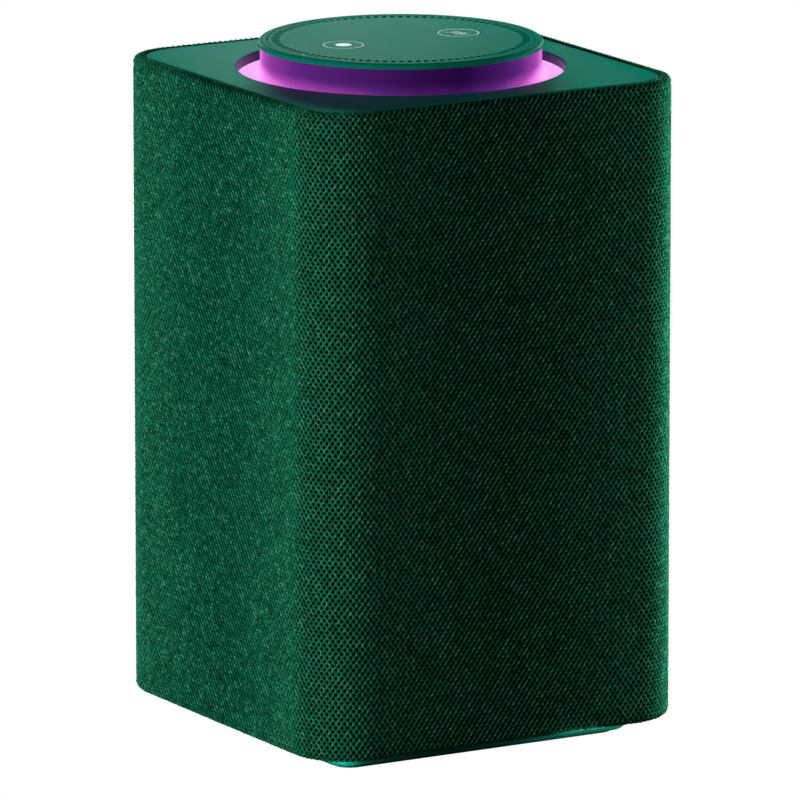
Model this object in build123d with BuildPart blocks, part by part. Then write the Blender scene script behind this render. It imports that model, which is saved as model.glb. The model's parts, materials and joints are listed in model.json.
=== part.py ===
from build123d import *
import os
from math import atan2, cos, pi, radians, sin

os.makedirs("parts", exist_ok=True)

# Driving dimensions, in millimetres. +Z is up, the front faces -Y, and the origin is
# the centre of the rubber foot's underside.
BODY_WIDTH = 141.0
BODY_CORNER = 20.0
TOTAL_HEIGHT = 231.0
SLEEVE_BOTTOM = 6.1
SLEEVE_TOP = 222.2
PLATE_TOP = 222.0
KNIT = 1.2
SHELL_WALL = 2.0
RUNNING_FIT = 0.05
SCREW_R = 1.25
PILOT_R = 1.3
SCREW_HEAD_R = 2.4
SCREW_HEAD_H = 1.7

# Half widths of the nested square skins, from the outside in
SLEEVE_HALF = BODY_WIDTH / 2
SHELL_HALF = SLEEVE_HALF - KNIT
SHELL_INNER = SHELL_HALF - SHELL_WALL
RIM_INNER = SHELL_INNER - KNIT + 0.1
PLATE_HALF = RIM_INNER - 0.1

# Foot and plinth
FOOT_HEIGHT = 2.0
FOOT_HALF = 53.0
FOOT_WIDTH = 6.0
PLINTH_BOTTOM = 1.0
PLINTH_HALF = 57.0
PLINTH_CORNER = 8.0
FLANGE_BOTTOM = 6.3
FLANGE_HALF = 66.2
CABINET_BOTTOM = 8.3

# Sealed cabinet
CABINET_HALF = 64.5
CABINET_REAR = 50.0
CABINET_TOP = 185.0
CABINET_WALL = 4.0
CABINET_CORNER = 9.5
LID_BOTTOM = 186.0
LID_TOP = 190.0
CABINET_DEPTH = CABINET_HALF + CABINET_REAR
CABINET_MID_Y = (CABINET_REAR - CABINET_HALF) / 2
LID_SCREWS = [(x, y) for x in (-56, 56) for y in (-56, 41.5)]
BASE_SCREWS = [(x, y) for x in (-38, 38) for y in (-38, 38)]

# Drivers: each flange stands half a millimetre proud of the cabinet wall
DRIVER_FACE = CABINET_HALF + 0.5
FLANGE_THICK = 2.5
WOOFER_Z = 74.0
WOOFER_FLANGE_R = 49.0
WOOFER_HOLE_R = 42.5
WOOFER_SCREW_R = 45.6
TWEETER_X = 29.0
TWEETER_Z = 148.0
TWEETER_FLANGE_R = 19.0
TWEETER_HOLE_R = 14.5
TWEETER_SCREW_R = 16.8
RADIATOR_Z = 80.0
RADIATOR_FLANGE_R = 47.5
RADIATOR_HOLE_R = 43.5
RADIATOR_SCREW_R = 45.3

# Rear electronics bay
BOARD_Y = 56.0
BOARD_THICK = 1.6
BOARD_REAR = BOARD_Y + BOARD_THICK
BOARD_LOW, BOARD_HIGH = 14.0, 160.0
BOARD_HALF_X = 50.0
BOARD_SCREWS = [(x, z) for x in (-44, 44) for z in (20, 152)]
BAY_Z = 25.0
BAY_WIDTH, BAY_HEIGHT = 48.0, 22.0
BAY_WALL = 1.5
BAY_FLOOR_Y = 66.5
JACK_X, SOCKET_X = -12.0, 9.0

# Control head, from the chassis up
CHASSIS_BOTTOM, CHASSIS_TOP = 207.5, 209.5
CHASSIS_HALF = 62.0
TEETH_BOTTOM, TEETH_TOP = 210.6, 214.4
HUB_BOTTOM, HUB_FLOOR_TOP = 215.0, 217.0
MIC_BOARD_BOTTOM, MIC_BOARD_TOP = 221.4, 223.0
MESH_BOTTOM = 228.2
CONTROL_BOTTOM, CONTROL_TOP = 228.5, 230.9
RIM_BOTTOM = 229.2
RIM_R = 47.35
RIM_TOP_R = 46.1
RING_BORE_R = 44.5
SKIRT_R = 45.3
BAND_R = 46.6
BAND_TOP = 218.5
CONTROL_R = 44.2
WELL_R = 54.5
WELL_FLOOR = 218.8
WAIST_R = 46.7
DIFFUSER_WALL = 1.1
FLARE_R = 4.5
SLOT_COUNT = 96
SLOT_IN_R, SLOT_OUT_R, SLOT_WIDTH = 40.0, 43.0, 1.65
BUTTON_X = 22.0
BUTTON_R = 7.15
BUTTON_GAP = 0.25
MIC_R = 40.6
MIC_COUNT = 7
HUB_POSTS_R = 26.0
HUB_POST_ANGLES = (30, 150, 270)
PLATE_POSTS = [(x, y) for x in (-50, 50) for y in (-50, 50)]
CHASSIS_POSTS = [(x, y) for x in (-50, 50) for y in (-36, 30)]
LED_COUNT = 24
LED_R = 50.2

# Ring gear and encoder pinion
MODULE = 0.8
RING_TEETH = 108
PINION_TEETH = 15
PRESSURE_ANGLE = radians(25)
PINION_X = MODULE * (RING_TEETH - PINION_TEETH) / 2
TOOTH_THINNING = 0.12
PINION_SHAFT_R = 1.5


def square(half, corner):
    """A square with rounded corners, added to the sketch in progress."""
    RectangleRounded(2 * half, 2 * half, corner)


def corner_of(half):
    """The corner radius that keeps a nested skin parallel to the outer one."""
    return BODY_CORNER - (SLEEVE_HALF - half)


def spin_plane(origin, outward):
    """The plane in which a driver's profile is drawn: X is its radius, Y points outwards."""
    radial = Vector(0, 0, 1)
    return Plane(origin=origin, x_dir=radial, z_dir=radial.cross(Vector(*outward)))


def face_plane(origin, outward, lift=0.0):
    """The plane of a driver's front face, lifted outwards."""
    plane = Plane(origin=origin, x_dir=(0, 0, 1), z_dir=outward)
    return plane.offset(lift)


def involute(base_r, r):
    """The polar angle of an involute of base_r where it reaches radius r."""
    roll = (max(r / base_r, 1.0) ** 2 - 1) ** 0.5
    return roll - atan2(roll, 1)


def cap_arc(rim_r, level, height):
    """Three points, rim to top, of an arc whose centre is on the axis, so that it spins to a ball."""
    ball_r = (rim_r**2 + height**2) / (2 * height)
    half_angle = atan2(rim_r, ball_r - height) / 2
    centre = level + height - ball_r
    return (rim_r, level), (ball_r * sin(half_angle), centre + ball_r * cos(half_angle)), (0, level + height)


def gear_outline(teeth, root_r, tip_r, thinning):
    """Corner points of a gear of the shared module, with a tooth centred on +X."""
    pitch_r = MODULE * teeth / 2
    base_r = pitch_r * cos(PRESSURE_ANGLE)
    half_tooth = (pi / 2 / teeth) - thinning / 2 / pitch_r + involute(base_r, pitch_r)
    steps = [root_r + (tip_r - root_r) * k / 4 for k in range(5)]
    flank = [(r, half_tooth - involute(base_r, r)) for r in steps]
    points = []
    for tooth in range(teeth):
        middle = 2 * pi * tooth / teeth
        turned = [(r, middle - a) for r, a in flank] + [(r, middle + a) for r, a in reversed(flank)]
        points += [(r * cos(a), r * sin(a)) for r, a in turned]
    return points


WOOFER = (0, -DRIVER_FACE, WOOFER_Z)
FRONT = (0, -1, 0)
TWEETERS = {"left": -TWEETER_X, "right": TWEETER_X}
RADIATORS = {"left": -1, "right": 1}
TWEETER_SEATS = {side: (x, -DRIVER_FACE, TWEETER_Z) for side, x in TWEETERS.items()}
RADIATOR_SEATS = {side: (s * DRIVER_FACE, CABINET_MID_Y, RADIATOR_Z) for side, s in RADIATORS.items()}
SEATS = [(WOOFER, FRONT, WOOFER_FLANGE_R, WOOFER_HOLE_R, WOOFER_SCREW_R, 8)]
for side in TWEETERS:
    SEATS.append((TWEETER_SEATS[side], FRONT, TWEETER_FLANGE_R, TWEETER_HOLE_R, TWEETER_SCREW_R, 3))
for side, sign in RADIATORS.items():
    seat = (RADIATOR_SEATS[side], (sign, 0, 0), RADIATOR_FLANGE_R, RADIATOR_HOLE_R, RADIATOR_SCREW_R, 8)
    SEATS.append(seat)

# ---- Foot and plinth ----

with BuildPart() as rubber_foot:
    with BuildSketch(Plane.XY):
        square(FOOT_HALF, PLINTH_CORNER - 2)
        RectangleRounded(2 * (FOOT_HALF - FOOT_WIDTH), 2 * (FOOT_HALF - FOOT_WIDTH), 2, mode=Mode.SUBTRACT)
    extrude(amount=FOOT_HEIGHT)
    chamfer(rubber_foot.edges().group_by(Axis.Z)[0], length=0.3)
rubber_foot.part.label = "rubber_foot"
export_step(rubber_foot.part, "parts/rubber_foot.step")

with BuildPart() as base_cover:
    with BuildSketch(Plane.XY.offset(PLINTH_BOTTOM)):
        square(PLINTH_HALF, PLINTH_CORNER)
    extrude(amount=FLANGE_BOTTOM - PLINTH_BOTTOM)
    fillet(base_cover.edges().group_by(Axis.Z)[0], radius=2.6)
    with BuildSketch(Plane.XY.offset(FLANGE_BOTTOM)):
        square(FLANGE_HALF, corner_of(FLANGE_HALF))
    extrude(amount=CABINET_BOTTOM - FLANGE_BOTTOM)
    with BuildSketch(Plane.XY.offset(PLINTH_BOTTOM + 2.2)):
        square(PLINTH_HALF - 2.5, PLINTH_CORNER - 2.5)
        with Locations(*BASE_SCREWS):
            Circle(5, mode=Mode.SUBTRACT)
    extrude(amount=CABINET_BOTTOM, mode=Mode.SUBTRACT)
    with BuildSketch(Plane.XY.offset(PLINTH_BOTTOM)):
        square(FOOT_HALF, PLINTH_CORNER - 2)
        RectangleRounded(2 * (FOOT_HALF - FOOT_WIDTH), 2 * (FOOT_HALF - FOOT_WIDTH), 2, mode=Mode.SUBTRACT)
    extrude(amount=FOOT_HEIGHT - PLINTH_BOTTOM, mode=Mode.SUBTRACT)
    with BuildSketch(Plane.XY.offset(PLINTH_BOTTOM)):
        with Locations(*BASE_SCREWS):
            Circle(SCREW_HEAD_R + 0.3)
    extrude(amount=2.1, mode=Mode.SUBTRACT)
    with BuildSketch(Plane.XY.offset(PLINTH_BOTTOM)):
        with Locations(*BASE_SCREWS):
            Circle(PILOT_R + 0.2)
    extrude(amount=CABINET_BOTTOM, mode=Mode.SUBTRACT)
base_cover.part.label = "base_cover"
export_step(base_cover.part, "parts/base_cover.step")

# ---- Sealed cabinet ----

with BuildPart() as cabinet:
    with BuildSketch(Plane.XY.offset(CABINET_BOTTOM)):
        with Locations((0, CABINET_MID_Y)):
            RectangleRounded(2 * CABINET_HALF, CABINET_DEPTH, CABINET_CORNER)
    extrude(amount=CABINET_TOP - CABINET_BOTTOM)
    with BuildSketch(Plane.XY.offset(CABINET_BOTTOM + CABINET_WALL)):
        with Locations((0, CABINET_MID_Y)):
            RectangleRounded(
                2 * (CABINET_HALF - CABINET_WALL),
                CABINET_DEPTH - 2 * CABINET_WALL,
                CABINET_CORNER - CABINET_WALL,
            )
    extrude(amount=CABINET_TOP, mode=Mode.SUBTRACT)
    with BuildSketch(Plane.XY.offset(CABINET_TOP - 22)):
        with Locations(*LID_SCREWS):
            Circle(5.5)
    extrude(amount=22)
    with BuildSketch(Plane.XY.offset(CABINET_BOTTOM + 1)):
        with Locations(*BASE_SCREWS):
            Circle(5)
    extrude(amount=12)
    with BuildSketch(Plane.XZ.offset(-BOARD_Y)):
        with Locations(*BOARD_SCREWS):
            Circle(4)
    extrude(amount=BOARD_Y - CABINET_REAR + 1)
    for origin, outward, flange_r, hole_r, screw_r, screws in SEATS:
        with BuildSketch(face_plane(origin, outward)):
            Circle(flange_r + 0.1)
        extrude(amount=-FLANGE_THICK, mode=Mode.SUBTRACT)
        with BuildSketch(face_plane(origin, outward)):
            Circle(hole_r)
            with PolarLocations(screw_r, screws, start_angle=180 / screws):
                Circle(PILOT_R)
        extrude(amount=-(CABINET_WALL + 3), mode=Mode.SUBTRACT)
    with BuildSketch(Plane.XY.offset(CABINET_TOP - 12)):
        with Locations(*LID_SCREWS):
            Circle(PILOT_R)
    extrude(amount=14, mode=Mode.SUBTRACT)
    with BuildSketch(Plane.XY.offset(CABINET_BOTTOM)):
        with Locations(*BASE_SCREWS):
            Circle(PILOT_R)
    extrude(amount=11, mode=Mode.SUBTRACT)
    with BuildSketch(Plane.XZ.offset(-BOARD_Y)):
        with Locations(*BOARD_SCREWS):
            Circle(PILOT_R)
    extrude(amount=7, mode=Mode.SUBTRACT)
cabinet.part.label = "cabinet"
export_step(cabinet.part, "parts/cabinet.step")

with BuildPart() as lid_gasket:
    with BuildSketch(Plane.XY.offset(CABINET_TOP)):
        with Locations((0, CABINET_MID_Y)):
            RectangleRounded(2 * CABINET_HALF - 2, CABINET_DEPTH - 2, CABINET_CORNER - 1)
            RectangleRounded(2 * CABINET_HALF - 7, CABINET_DEPTH - 7, CABINET_CORNER - 3, mode=Mode.SUBTRACT)
    extrude(amount=LID_BOTTOM - CABINET_TOP)
lid_gasket.part.label = "lid_gasket"
export_step(lid_gasket.part, "parts/lid_gasket.step")

with BuildPart() as cabinet_lid:
    with BuildSketch(Plane.XY.offset(LID_BOTTOM)):
        with Locations((0, CABINET_MID_Y)):
            RectangleRounded(2 * CABINET_HALF, CABINET_DEPTH, CABINET_CORNER)
        with Locations(*LID_SCREWS):
            Circle(PILOT_R + 0.1, mode=Mode.SUBTRACT)
    extrude(amount=LID_TOP - LID_BOTTOM)
    with BuildSketch(Plane.XY.offset(LID_TOP)):
        with GridLocations(34, 1, 3, 1):
            Rectangle(2, 70)
    extrude(amount=3)
    with BuildSketch(Plane.XY.offset(LID_TOP)):
        with Locations(*CHASSIS_POSTS):
            Circle(PILOT_R)
    extrude(amount=-3, mode=Mode.SUBTRACT)
cabinet_lid.part.label = "cabinet_lid"
export_step(cabinet_lid.part, "parts/cabinet_lid.step")

# ---- Woofer, drawn as (radius, distance outwards from its front face) ----

with BuildPart() as woofer_basket:
    with BuildSketch(spin_plane(WOOFER, FRONT)):
        with BuildLine():
            Polyline(
                (40.5, 0), (49, 0), (49, -2.5), (42, -2.5), (37, -14), (35, -19.5), (31.5, -24.8),
                (31.5, -28), (14.2, -28), (14.2, -26), (29.3, -26), (29.3, -24.5), (30.5, -19),
                (33.4, -19), (35.2, -14), (38.4, -4.4), (38.4, -2.4), (40.5, -2.4),
                close=True,
            )
        make_face()
    revolve(axis=Axis(WOOFER, FRONT))
    with BuildSketch(face_plane(WOOFER, FRONT, -5)):
        with PolarLocations(37, 6):
            RectangleRounded(9, 20, 2)
    extrude(amount=-11.5, mode=Mode.SUBTRACT)
    with BuildSketch(face_plane(WOOFER, FRONT)):
        with PolarLocations(WOOFER_SCREW_R, 8, start_angle=22.5):
            Circle(PILOT_R + 0.1)
    extrude(amount=-4, mode=Mode.SUBTRACT)
woofer_basket.part.label = "woofer_basket"
export_step(woofer_basket.part, "parts/woofer_basket.step")

with BuildPart() as woofer_washer:
    with BuildSketch(face_plane(WOOFER, FRONT, -28)):
        Circle(31)
        Circle(13.8, mode=Mode.SUBTRACT)
    extrude(amount=-5)
woofer_washer.part.label = "woofer_washer"
export_step(woofer_washer.part, "parts/woofer_washer.step")

with BuildPart() as woofer_magnet:
    with BuildSketch(face_plane(WOOFER, FRONT, -33)):
        Circle(35)
        Circle(18, mode=Mode.SUBTRACT)
    extrude(amount=-12)
    chamfer(woofer_magnet.edges(), length=0.6)
woofer_magnet.part.label = "woofer_magnet"
export_step(woofer_magnet.part, "parts/woofer_magnet.step")

with BuildPart() as woofer_yoke:
    with BuildSketch(face_plane(WOOFER, FRONT, -45)):
        Circle(33)
    extrude(amount=-5)
    with BuildSketch(face_plane(WOOFER, FRONT, -45)):
        Circle(12.2)
    extrude(amount=16.8)
    with BuildSketch(face_plane(WOOFER, FRONT, -50)):
        Circle(4)
    extrude(amount=30, mode=Mode.SUBTRACT)
woofer_yoke.part.label = "woofer_yoke"
export_step(woofer_yoke.part, "parts/woofer_yoke.step")

with BuildPart() as woofer_voice_coil:
    with BuildSketch(spin_plane(WOOFER, FRONT)):
        with BuildLine():
            Polyline(
                (12.7, -12.5), (12.95, -12.5), (12.95, -26.5), (13.4, -26.5), (13.4, -34.5),
                (12.95, -34.5), (12.95, -36), (12.7, -36),
                close=True,
            )
        make_face()
    revolve(axis=Axis(WOOFER, FRONT))
woofer_voice_coil.part.label = "woofer_voice_coil"
export_step(woofer_voice_coil.part, "parts/woofer_voice_coil.step")

SPIDER_WAVES = 6
SPIDER_IN, SPIDER_OUT = 13.6, 31.0
SPIDER_LEVEL, SPIDER_WAVE, SPIDER_THICK = -18.7, 0.8, 0.5
spider_steps = 2 * SPIDER_WAVES
spider_r = [SPIDER_IN + (SPIDER_OUT - SPIDER_IN) * k / spider_steps for k in range(spider_steps + 1)]
spider_low = [(r, SPIDER_LEVEL + (SPIDER_WAVE if k % 2 else 0)) for k, r in enumerate(spider_r)]
spider_low = [(13.05, SPIDER_LEVEL)] + spider_low + [(33.2, SPIDER_LEVEL)]
with BuildPart() as woofer_spider:
    with BuildSketch(spin_plane(WOOFER, FRONT)):
        with BuildLine():
            Polyline(*spider_low, *[(r, y + SPIDER_THICK) for r, y in reversed(spider_low)], close=True)
        make_face()
    revolve(axis=Axis(WOOFER, FRONT))
woofer_spider.part.label = "woofer_spider"
export_step(woofer_spider.part, "parts/woofer_spider.step")

with BuildPart() as woofer_cone:
    with BuildSketch(spin_plane(WOOFER, FRONT)):
        with BuildLine():
            Polyline(
                (13.0, -12.0), (29.8, -3.4), (31.5, -2.6), (31.5, -3.4), (29.8, -4.3), (13.0, -12.9),
                close=True,
            )
        make_face()
    revolve(axis=Axis(WOOFER, FRONT))
woofer_cone.part.label = "woofer_cone"
export_step(woofer_cone.part, "parts/woofer_cone.step")

with BuildPart() as woofer_dust_cap:
    with BuildSketch(spin_plane(WOOFER, FRONT)):
        with BuildLine():
            ThreePointArc(*cap_arc(14.5, -11.0, 3.6))
            Line((0, -7.4), (0, -8.0))
            ThreePointArc(*cap_arc(13.9, -11.45, 3.45))
            Line((13.9, -11.45), (14.5, -11.0))
        make_face()
    revolve(axis=Axis(WOOFER, FRONT))
woofer_dust_cap.part.label = "woofer_dust_cap"
export_step(woofer_dust_cap.part, "parts/woofer_dust_cap.step")


def surround(origin, outward, mid_r, roll_r, level, inner_r, outer_r):
    """A half-round rubber roll with a flat lip each side, as a spun solid."""
    thick = 0.7
    out, inn = roll_r + thick / 2, roll_r - thick / 2
    with BuildPart() as roll:
        with BuildSketch(spin_plane(origin, outward)):
            with BuildLine():
                Line((inner_r, level), (inner_r, level + thick))
                Line((inner_r, level + thick), (mid_r - out, level + thick))
                ThreePointArc(
                    (mid_r - out, level + thick), (mid_r, level + thick + out), (mid_r + out, level + thick)
                )
                Line((mid_r + out, level + thick), (outer_r, level + thick))
                Line((outer_r, level + thick), (outer_r, level))
                Line((outer_r, level), (mid_r + inn, level))
                ThreePointArc((mid_r + inn, level), (mid_r, level + thick + inn), (mid_r - inn, level))
                Line((mid_r - inn, level), (inner_r, level))
            make_face()
        revolve(axis=Axis(origin, outward))
    return roll


woofer_surround = surround(WOOFER, FRONT, 35.0, 2.8, -2.4, 30.2, 40.3)
woofer_surround.part.label = "woofer_surround"
export_step(woofer_surround.part, "parts/woofer_surround.step")

# ---- Tweeters ----

for side, origin in TWEETER_SEATS.items():
    with BuildPart() as tweeter_body:
        with BuildSketch(spin_plane(origin, FRONT)):
            with BuildLine():
                Polyline(
                    (15, 0), (19, 0), (19, -2.5), (14, -2.5), (14, -15), (0, -15), (0, -4.4), (9.2, -4.4),
                    (9.2, -9), (10.6, -9), (10.6, -2.4), (12.6, -2.4), (12.6, -1.2),
                    close=True,
                )
            make_face()
        revolve(axis=Axis(origin, FRONT))
        with BuildSketch(face_plane(origin, FRONT)):
            with PolarLocations(TWEETER_SCREW_R, 3, start_angle=60):
                Circle(PILOT_R + 0.1)
        extrude(amount=-4, mode=Mode.SUBTRACT)
    tweeter_body.part.label = f"tweeter_body_{side}"
    export_step(tweeter_body.part, f"parts/tweeter_body_{side}.step")

    with BuildPart() as tweeter_dome:
        with BuildSketch(spin_plane(origin, FRONT)):
            with BuildLine():
                ThreePointArc(*cap_arc(9.6, -1.5, 2.2))
                Line((0, 0.7), (0, 0.2))
                ThreePointArc(*cap_arc(9.6, -2.2, 2.4))
                Polyline(
                    (9.6, -2.2), (9.6, -7), (10.0, -7), (10.0, -1.9), (12.3, -1.9), (12.3, -1.5), (9.6, -1.5)
                )
            make_face()
        revolve(axis=Axis(origin, FRONT))
    tweeter_dome.part.label = f"tweeter_dome_{side}"
    export_step(tweeter_dome.part, f"parts/tweeter_dome_{side}.step")

# ---- Passive radiators ----

for side, origin in RADIATOR_SEATS.items():
    outward = (RADIATORS[side], 0, 0)
    with BuildPart() as radiator_frame:
        with BuildSketch(spin_plane(origin, outward)):
            with BuildLine():
                Polyline(
                    (40.9, 0), (47.5, 0), (47.5, -2.5), (43, -2.5), (43, -6.5), (39.9, -6.5), (39.9, -3.1),
                    (40.9, -3.1),
                    close=True,
                )
            make_face()
        revolve(axis=Axis(origin, outward))
        with BuildSketch(face_plane(origin, outward)):
            with PolarLocations(RADIATOR_SCREW_R, 8, start_angle=22.5):
                Circle(PILOT_R + 0.1)
        extrude(amount=-2.6, mode=Mode.SUBTRACT)
    radiator_frame.part.label = f"radiator_frame_{side}"
    export_step(radiator_frame.part, f"parts/radiator_frame_{side}.step")

    radiator_surround = surround(origin, outward, 36.4, 2.85, -3.1, 31.8, 40.8)
    radiator_surround.part.label = f"radiator_surround_{side}"
    export_step(radiator_surround.part, f"parts/radiator_surround_{side}.step")

    with BuildPart() as radiator_plate:
        with BuildSketch(spin_plane(origin, outward)):
            with BuildLine():
                Polyline(
                    (0, -4.2), (20, -4.2), (24, -3.2), (33, -3.2), (33, -5.2), (24, -5.6), (17, -6.2),
                    (17, -9.5), (0, -9.5),
                    close=True,
                )
            make_face()
        revolve(axis=Axis(origin, outward))
        with BuildSketch(face_plane(origin, outward, -5)):
            with PolarLocations(28.5, 12):
                RectangleRounded(5, 3, 1)
        extrude(amount=-2, mode=Mode.SUBTRACT)
    radiator_plate.part.label = f"radiator_plate_{side}"
    export_step(radiator_plate.part, f"parts/radiator_plate_{side}.step")

with BuildPart() as driver_screws:
    for origin, outward, flange_r, hole_r, screw_r, screws in SEATS:
        with BuildSketch(face_plane(origin, outward)):
            with PolarLocations(screw_r, screws, start_angle=180 / screws):
                Circle(1.9)
        extrude(amount=1.2)
        with BuildSketch(face_plane(origin, outward)):
            with PolarLocations(screw_r, screws, start_angle=180 / screws):
                Circle(SCREW_R)
        extrude(amount=-(CABINET_WALL + 2.5))
        with BuildSketch(face_plane(origin, outward, 1.2)):
            with PolarLocations(screw_r, screws, start_angle=180 / screws):
                Rectangle(2.2, 0.5)
                Rectangle(0.5, 2.2)
        extrude(amount=-0.7, mode=Mode.SUBTRACT)
driver_screws.part.label = "driver_screws"
export_step(driver_screws.part, "parts/driver_screws.step")

# ---- Rear electronics ----

rear_plane = Plane(origin=(0, BOARD_Y, 0), x_dir=(-1, 0, 0), z_dir=(0, 1, 0))
component_plane = rear_plane.offset(BOARD_THICK)

with BuildPart() as main_board:
    with BuildSketch(rear_plane):
        with Locations((0, (BOARD_LOW + BOARD_HIGH) / 2)):
            RectangleRounded(2 * BOARD_HALF_X, BOARD_HIGH - BOARD_LOW, 3)
        with Locations(*BOARD_SCREWS):
            Circle(PILOT_R + 0.1, mode=Mode.SUBTRACT)
    extrude(amount=BOARD_THICK)
main_board.part.label = "main_board"
export_step(main_board.part, "parts/main_board.step")

with BuildPart() as board_components:
    with BuildSketch(component_plane):
        with Locations((-30, 60), (-18, 60), (-30, 46), (-18, 46)):
            Circle(4)
    extrude(amount=8.2)
    with BuildSketch(component_plane):
        with GridLocations(13, 1, 2, 1):
            with Locations((24, 54)):
                RectangleRounded(10, 10, 1.5)
    extrude(amount=5)
    with BuildSketch(component_plane):
        with Locations((24, 70), (-24, 74)):
            Rectangle(9, 9)
        with Locations((6, 48), (6, 58), (0, 70)):
            Rectangle(5, 4)
    extrude(amount=1.2)
    with BuildSketch(component_plane):
        with Locations((0, 146)):
            Rectangle(24, 5)
    extrude(amount=2)
board_components.part.label = "board_components"
export_step(board_components.part, "parts/board_components.step")

with BuildPart() as shield_can:
    with BuildSketch(component_plane):
        with Locations((0, 115)):
            RectangleRounded(44, 36, 1)
    extrude(amount=3)
    with BuildSketch(component_plane):
        with Locations((0, 115)):
            RectangleRounded(43.2, 35.2, 0.6)
    extrude(amount=2.6, mode=Mode.SUBTRACT)
shield_can.part.label = "shield_can"
export_step(shield_can.part, "parts/shield_can.step")

with BuildPart() as thermal_pad:
    with BuildSketch(component_plane.offset(3)):
        with Locations((0, 115)):
            Rectangle(38, 30)
    extrude(amount=0.5)
thermal_pad.part.label = "thermal_pad"
export_step(thermal_pad.part, "parts/thermal_pad.step")

with BuildPart() as heat_sink:
    with BuildSketch(component_plane.offset(3.5)):
        with Locations((0, 115)):
            RectangleRounded(64, 44, 2)
    extrude(amount=1.5)
    with BuildSketch(component_plane.offset(5)):
        with Locations((0, 115)):
            with GridLocations(5, 1, 13, 1):
                Rectangle(1.4, 44)
    extrude(amount=4)
heat_sink.part.label = "heat_sink"
export_step(heat_sink.part, "parts/heat_sink.step")

with BuildPart() as dc_jack:
    with BuildSketch(component_plane):
        with Locations((-JACK_X, BAY_Z)):
            Rectangle(9, 11)
    extrude(amount=BAY_FLOOR_Y - BOARD_REAR - 2.3)
    with BuildSketch(component_plane):
        with Locations((-JACK_X, BAY_Z)):
            Circle(3.9)
    extrude(amount=BAY_FLOOR_Y - BOARD_REAR)
    with BuildSketch(component_plane.offset(0.8)):
        with Locations((-JACK_X, BAY_Z)):
            Circle(2.85)
            Circle(1.05, mode=Mode.SUBTRACT)
    extrude(amount=10, mode=Mode.SUBTRACT)
dc_jack.part.label = "dc_jack"
export_step(dc_jack.part, "parts/dc_jack.step")

with BuildPart() as video_socket:
    with BuildSketch(component_plane):
        with Locations((-SOCKET_X, BAY_Z)):
            RectangleRounded(15, 5.6, 0.8)
    extrude(amount=BAY_FLOOR_Y - BOARD_REAR)
    with BuildSketch(component_plane.offset(1.2)):
        with Locations((-SOCKET_X, BAY_Z)):
            RectangleRounded(14.2, 4.8, 0.5)
            Rectangle(11.4, 1.2, mode=Mode.SUBTRACT)
    extrude(amount=10, mode=Mode.SUBTRACT)
video_socket.part.label = "video_socket"
export_step(video_socket.part, "parts/video_socket.step")

bay_plane = Plane(origin=(0, BAY_FLOOR_Y - 2, 0), x_dir=(-1, 0, 0), z_dir=(0, 1, 0))
with BuildPart() as rear_panel:
    with BuildSketch(bay_plane):
        with Locations((0, BAY_Z)):
            RectangleRounded(BAY_WIDTH, BAY_HEIGHT, 4)
    extrude(amount=SLEEVE_HALF - 0.3 - BAY_FLOOR_Y + 2)
    with BuildSketch(bay_plane.offset(2)):
        with Locations((0, BAY_Z)):
            RectangleRounded(BAY_WIDTH - 2 * BAY_WALL, BAY_HEIGHT - 2 * BAY_WALL, 4 - BAY_WALL)
    extrude(amount=6, mode=Mode.SUBTRACT)
    with BuildSketch(bay_plane):
        with Locations((-JACK_X, BAY_Z)):
            Circle(4.0)
        with Locations((-SOCKET_X, BAY_Z)):
            RectangleRounded(15.2, 5.8, 0.9)
    extrude(amount=3, mode=Mode.SUBTRACT)
rear_panel.part.label = "rear_panel"
export_step(rear_panel.part, "parts/rear_panel.step")

with BuildPart() as board_screws:
    with BuildSketch(component_plane):
        with Locations(*BOARD_SCREWS):
            Circle(2.2)
    extrude(amount=1.4)
    with BuildSketch(component_plane):
        with Locations(*BOARD_SCREWS):
            Circle(SCREW_R)
    extrude(amount=-7)
    with BuildSketch(Plane.XY.offset(MIC_BOARD_TOP)):
        with PolarLocations(28, 4, start_angle=45):
            Circle(2.2)
    extrude(amount=1.4)
    with BuildSketch(Plane.XY.offset(MIC_BOARD_TOP)):
        with PolarLocations(28, 4, start_angle=45):
            Circle(SCREW_R)
    extrude(amount=-5)
board_screws.part.label = "board_screws"
export_step(board_screws.part, "parts/board_screws.step")

with BuildPart() as antennas:
    with BuildSketch(Plane.XY.offset(LID_TOP)):
        with Locations((-52, 0), (52, 0)):
            RectangleRounded(10, 34, 1)
    extrude(amount=0.4)
antennas.part.label = "antennas"
export_step(antennas.part, "parts/antennas.step")

RIBBON_THICK = 0.5
RIBBON_WIDTH = 18.0
RIBBON_Y = BOARD_REAR + 2.4
RIBBON_LEVEL = 200.0
RIBBON_IN_Y = 33.0
with BuildPart() as ribbon_cable:
    with BuildSketch(Plane.YZ.offset(-RIBBON_WIDTH / 2)):
        with BuildLine() as run:
            FilletPolyline(
                (RIBBON_Y, 144), (RIBBON_Y, RIBBON_LEVEL), (RIBBON_IN_Y, RIBBON_LEVEL),
                (RIBBON_IN_Y, MIC_BOARD_BOTTOM),
                radius=4,
            )
            offset(amount=RIBBON_THICK, side=Side.RIGHT)
        make_face()
    extrude(amount=RIBBON_WIDTH)
ribbon_cable.part.label = "ribbon_cable"
export_step(ribbon_cable.part, "parts/ribbon_cable.step")

LEAD_R = 1.0
with BuildPart() as speaker_leads:
    for x in (8, 12):
        with BuildLine() as lead:
            FilletPolyline((x, 45.9, 124), (x, 20, 124), (x, -20, 116), (x, -38, 116), radius=8)
        with BuildSketch(Plane(origin=lead.line @ 0, z_dir=lead.line % 0)):
            Circle(LEAD_R)
        sweep(path=lead.line)
speaker_leads.part.label = "speaker_leads"
export_step(speaker_leads.part, "parts/speaker_leads.step")

# ---- Outer shell and knitted sleeve ----

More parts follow.
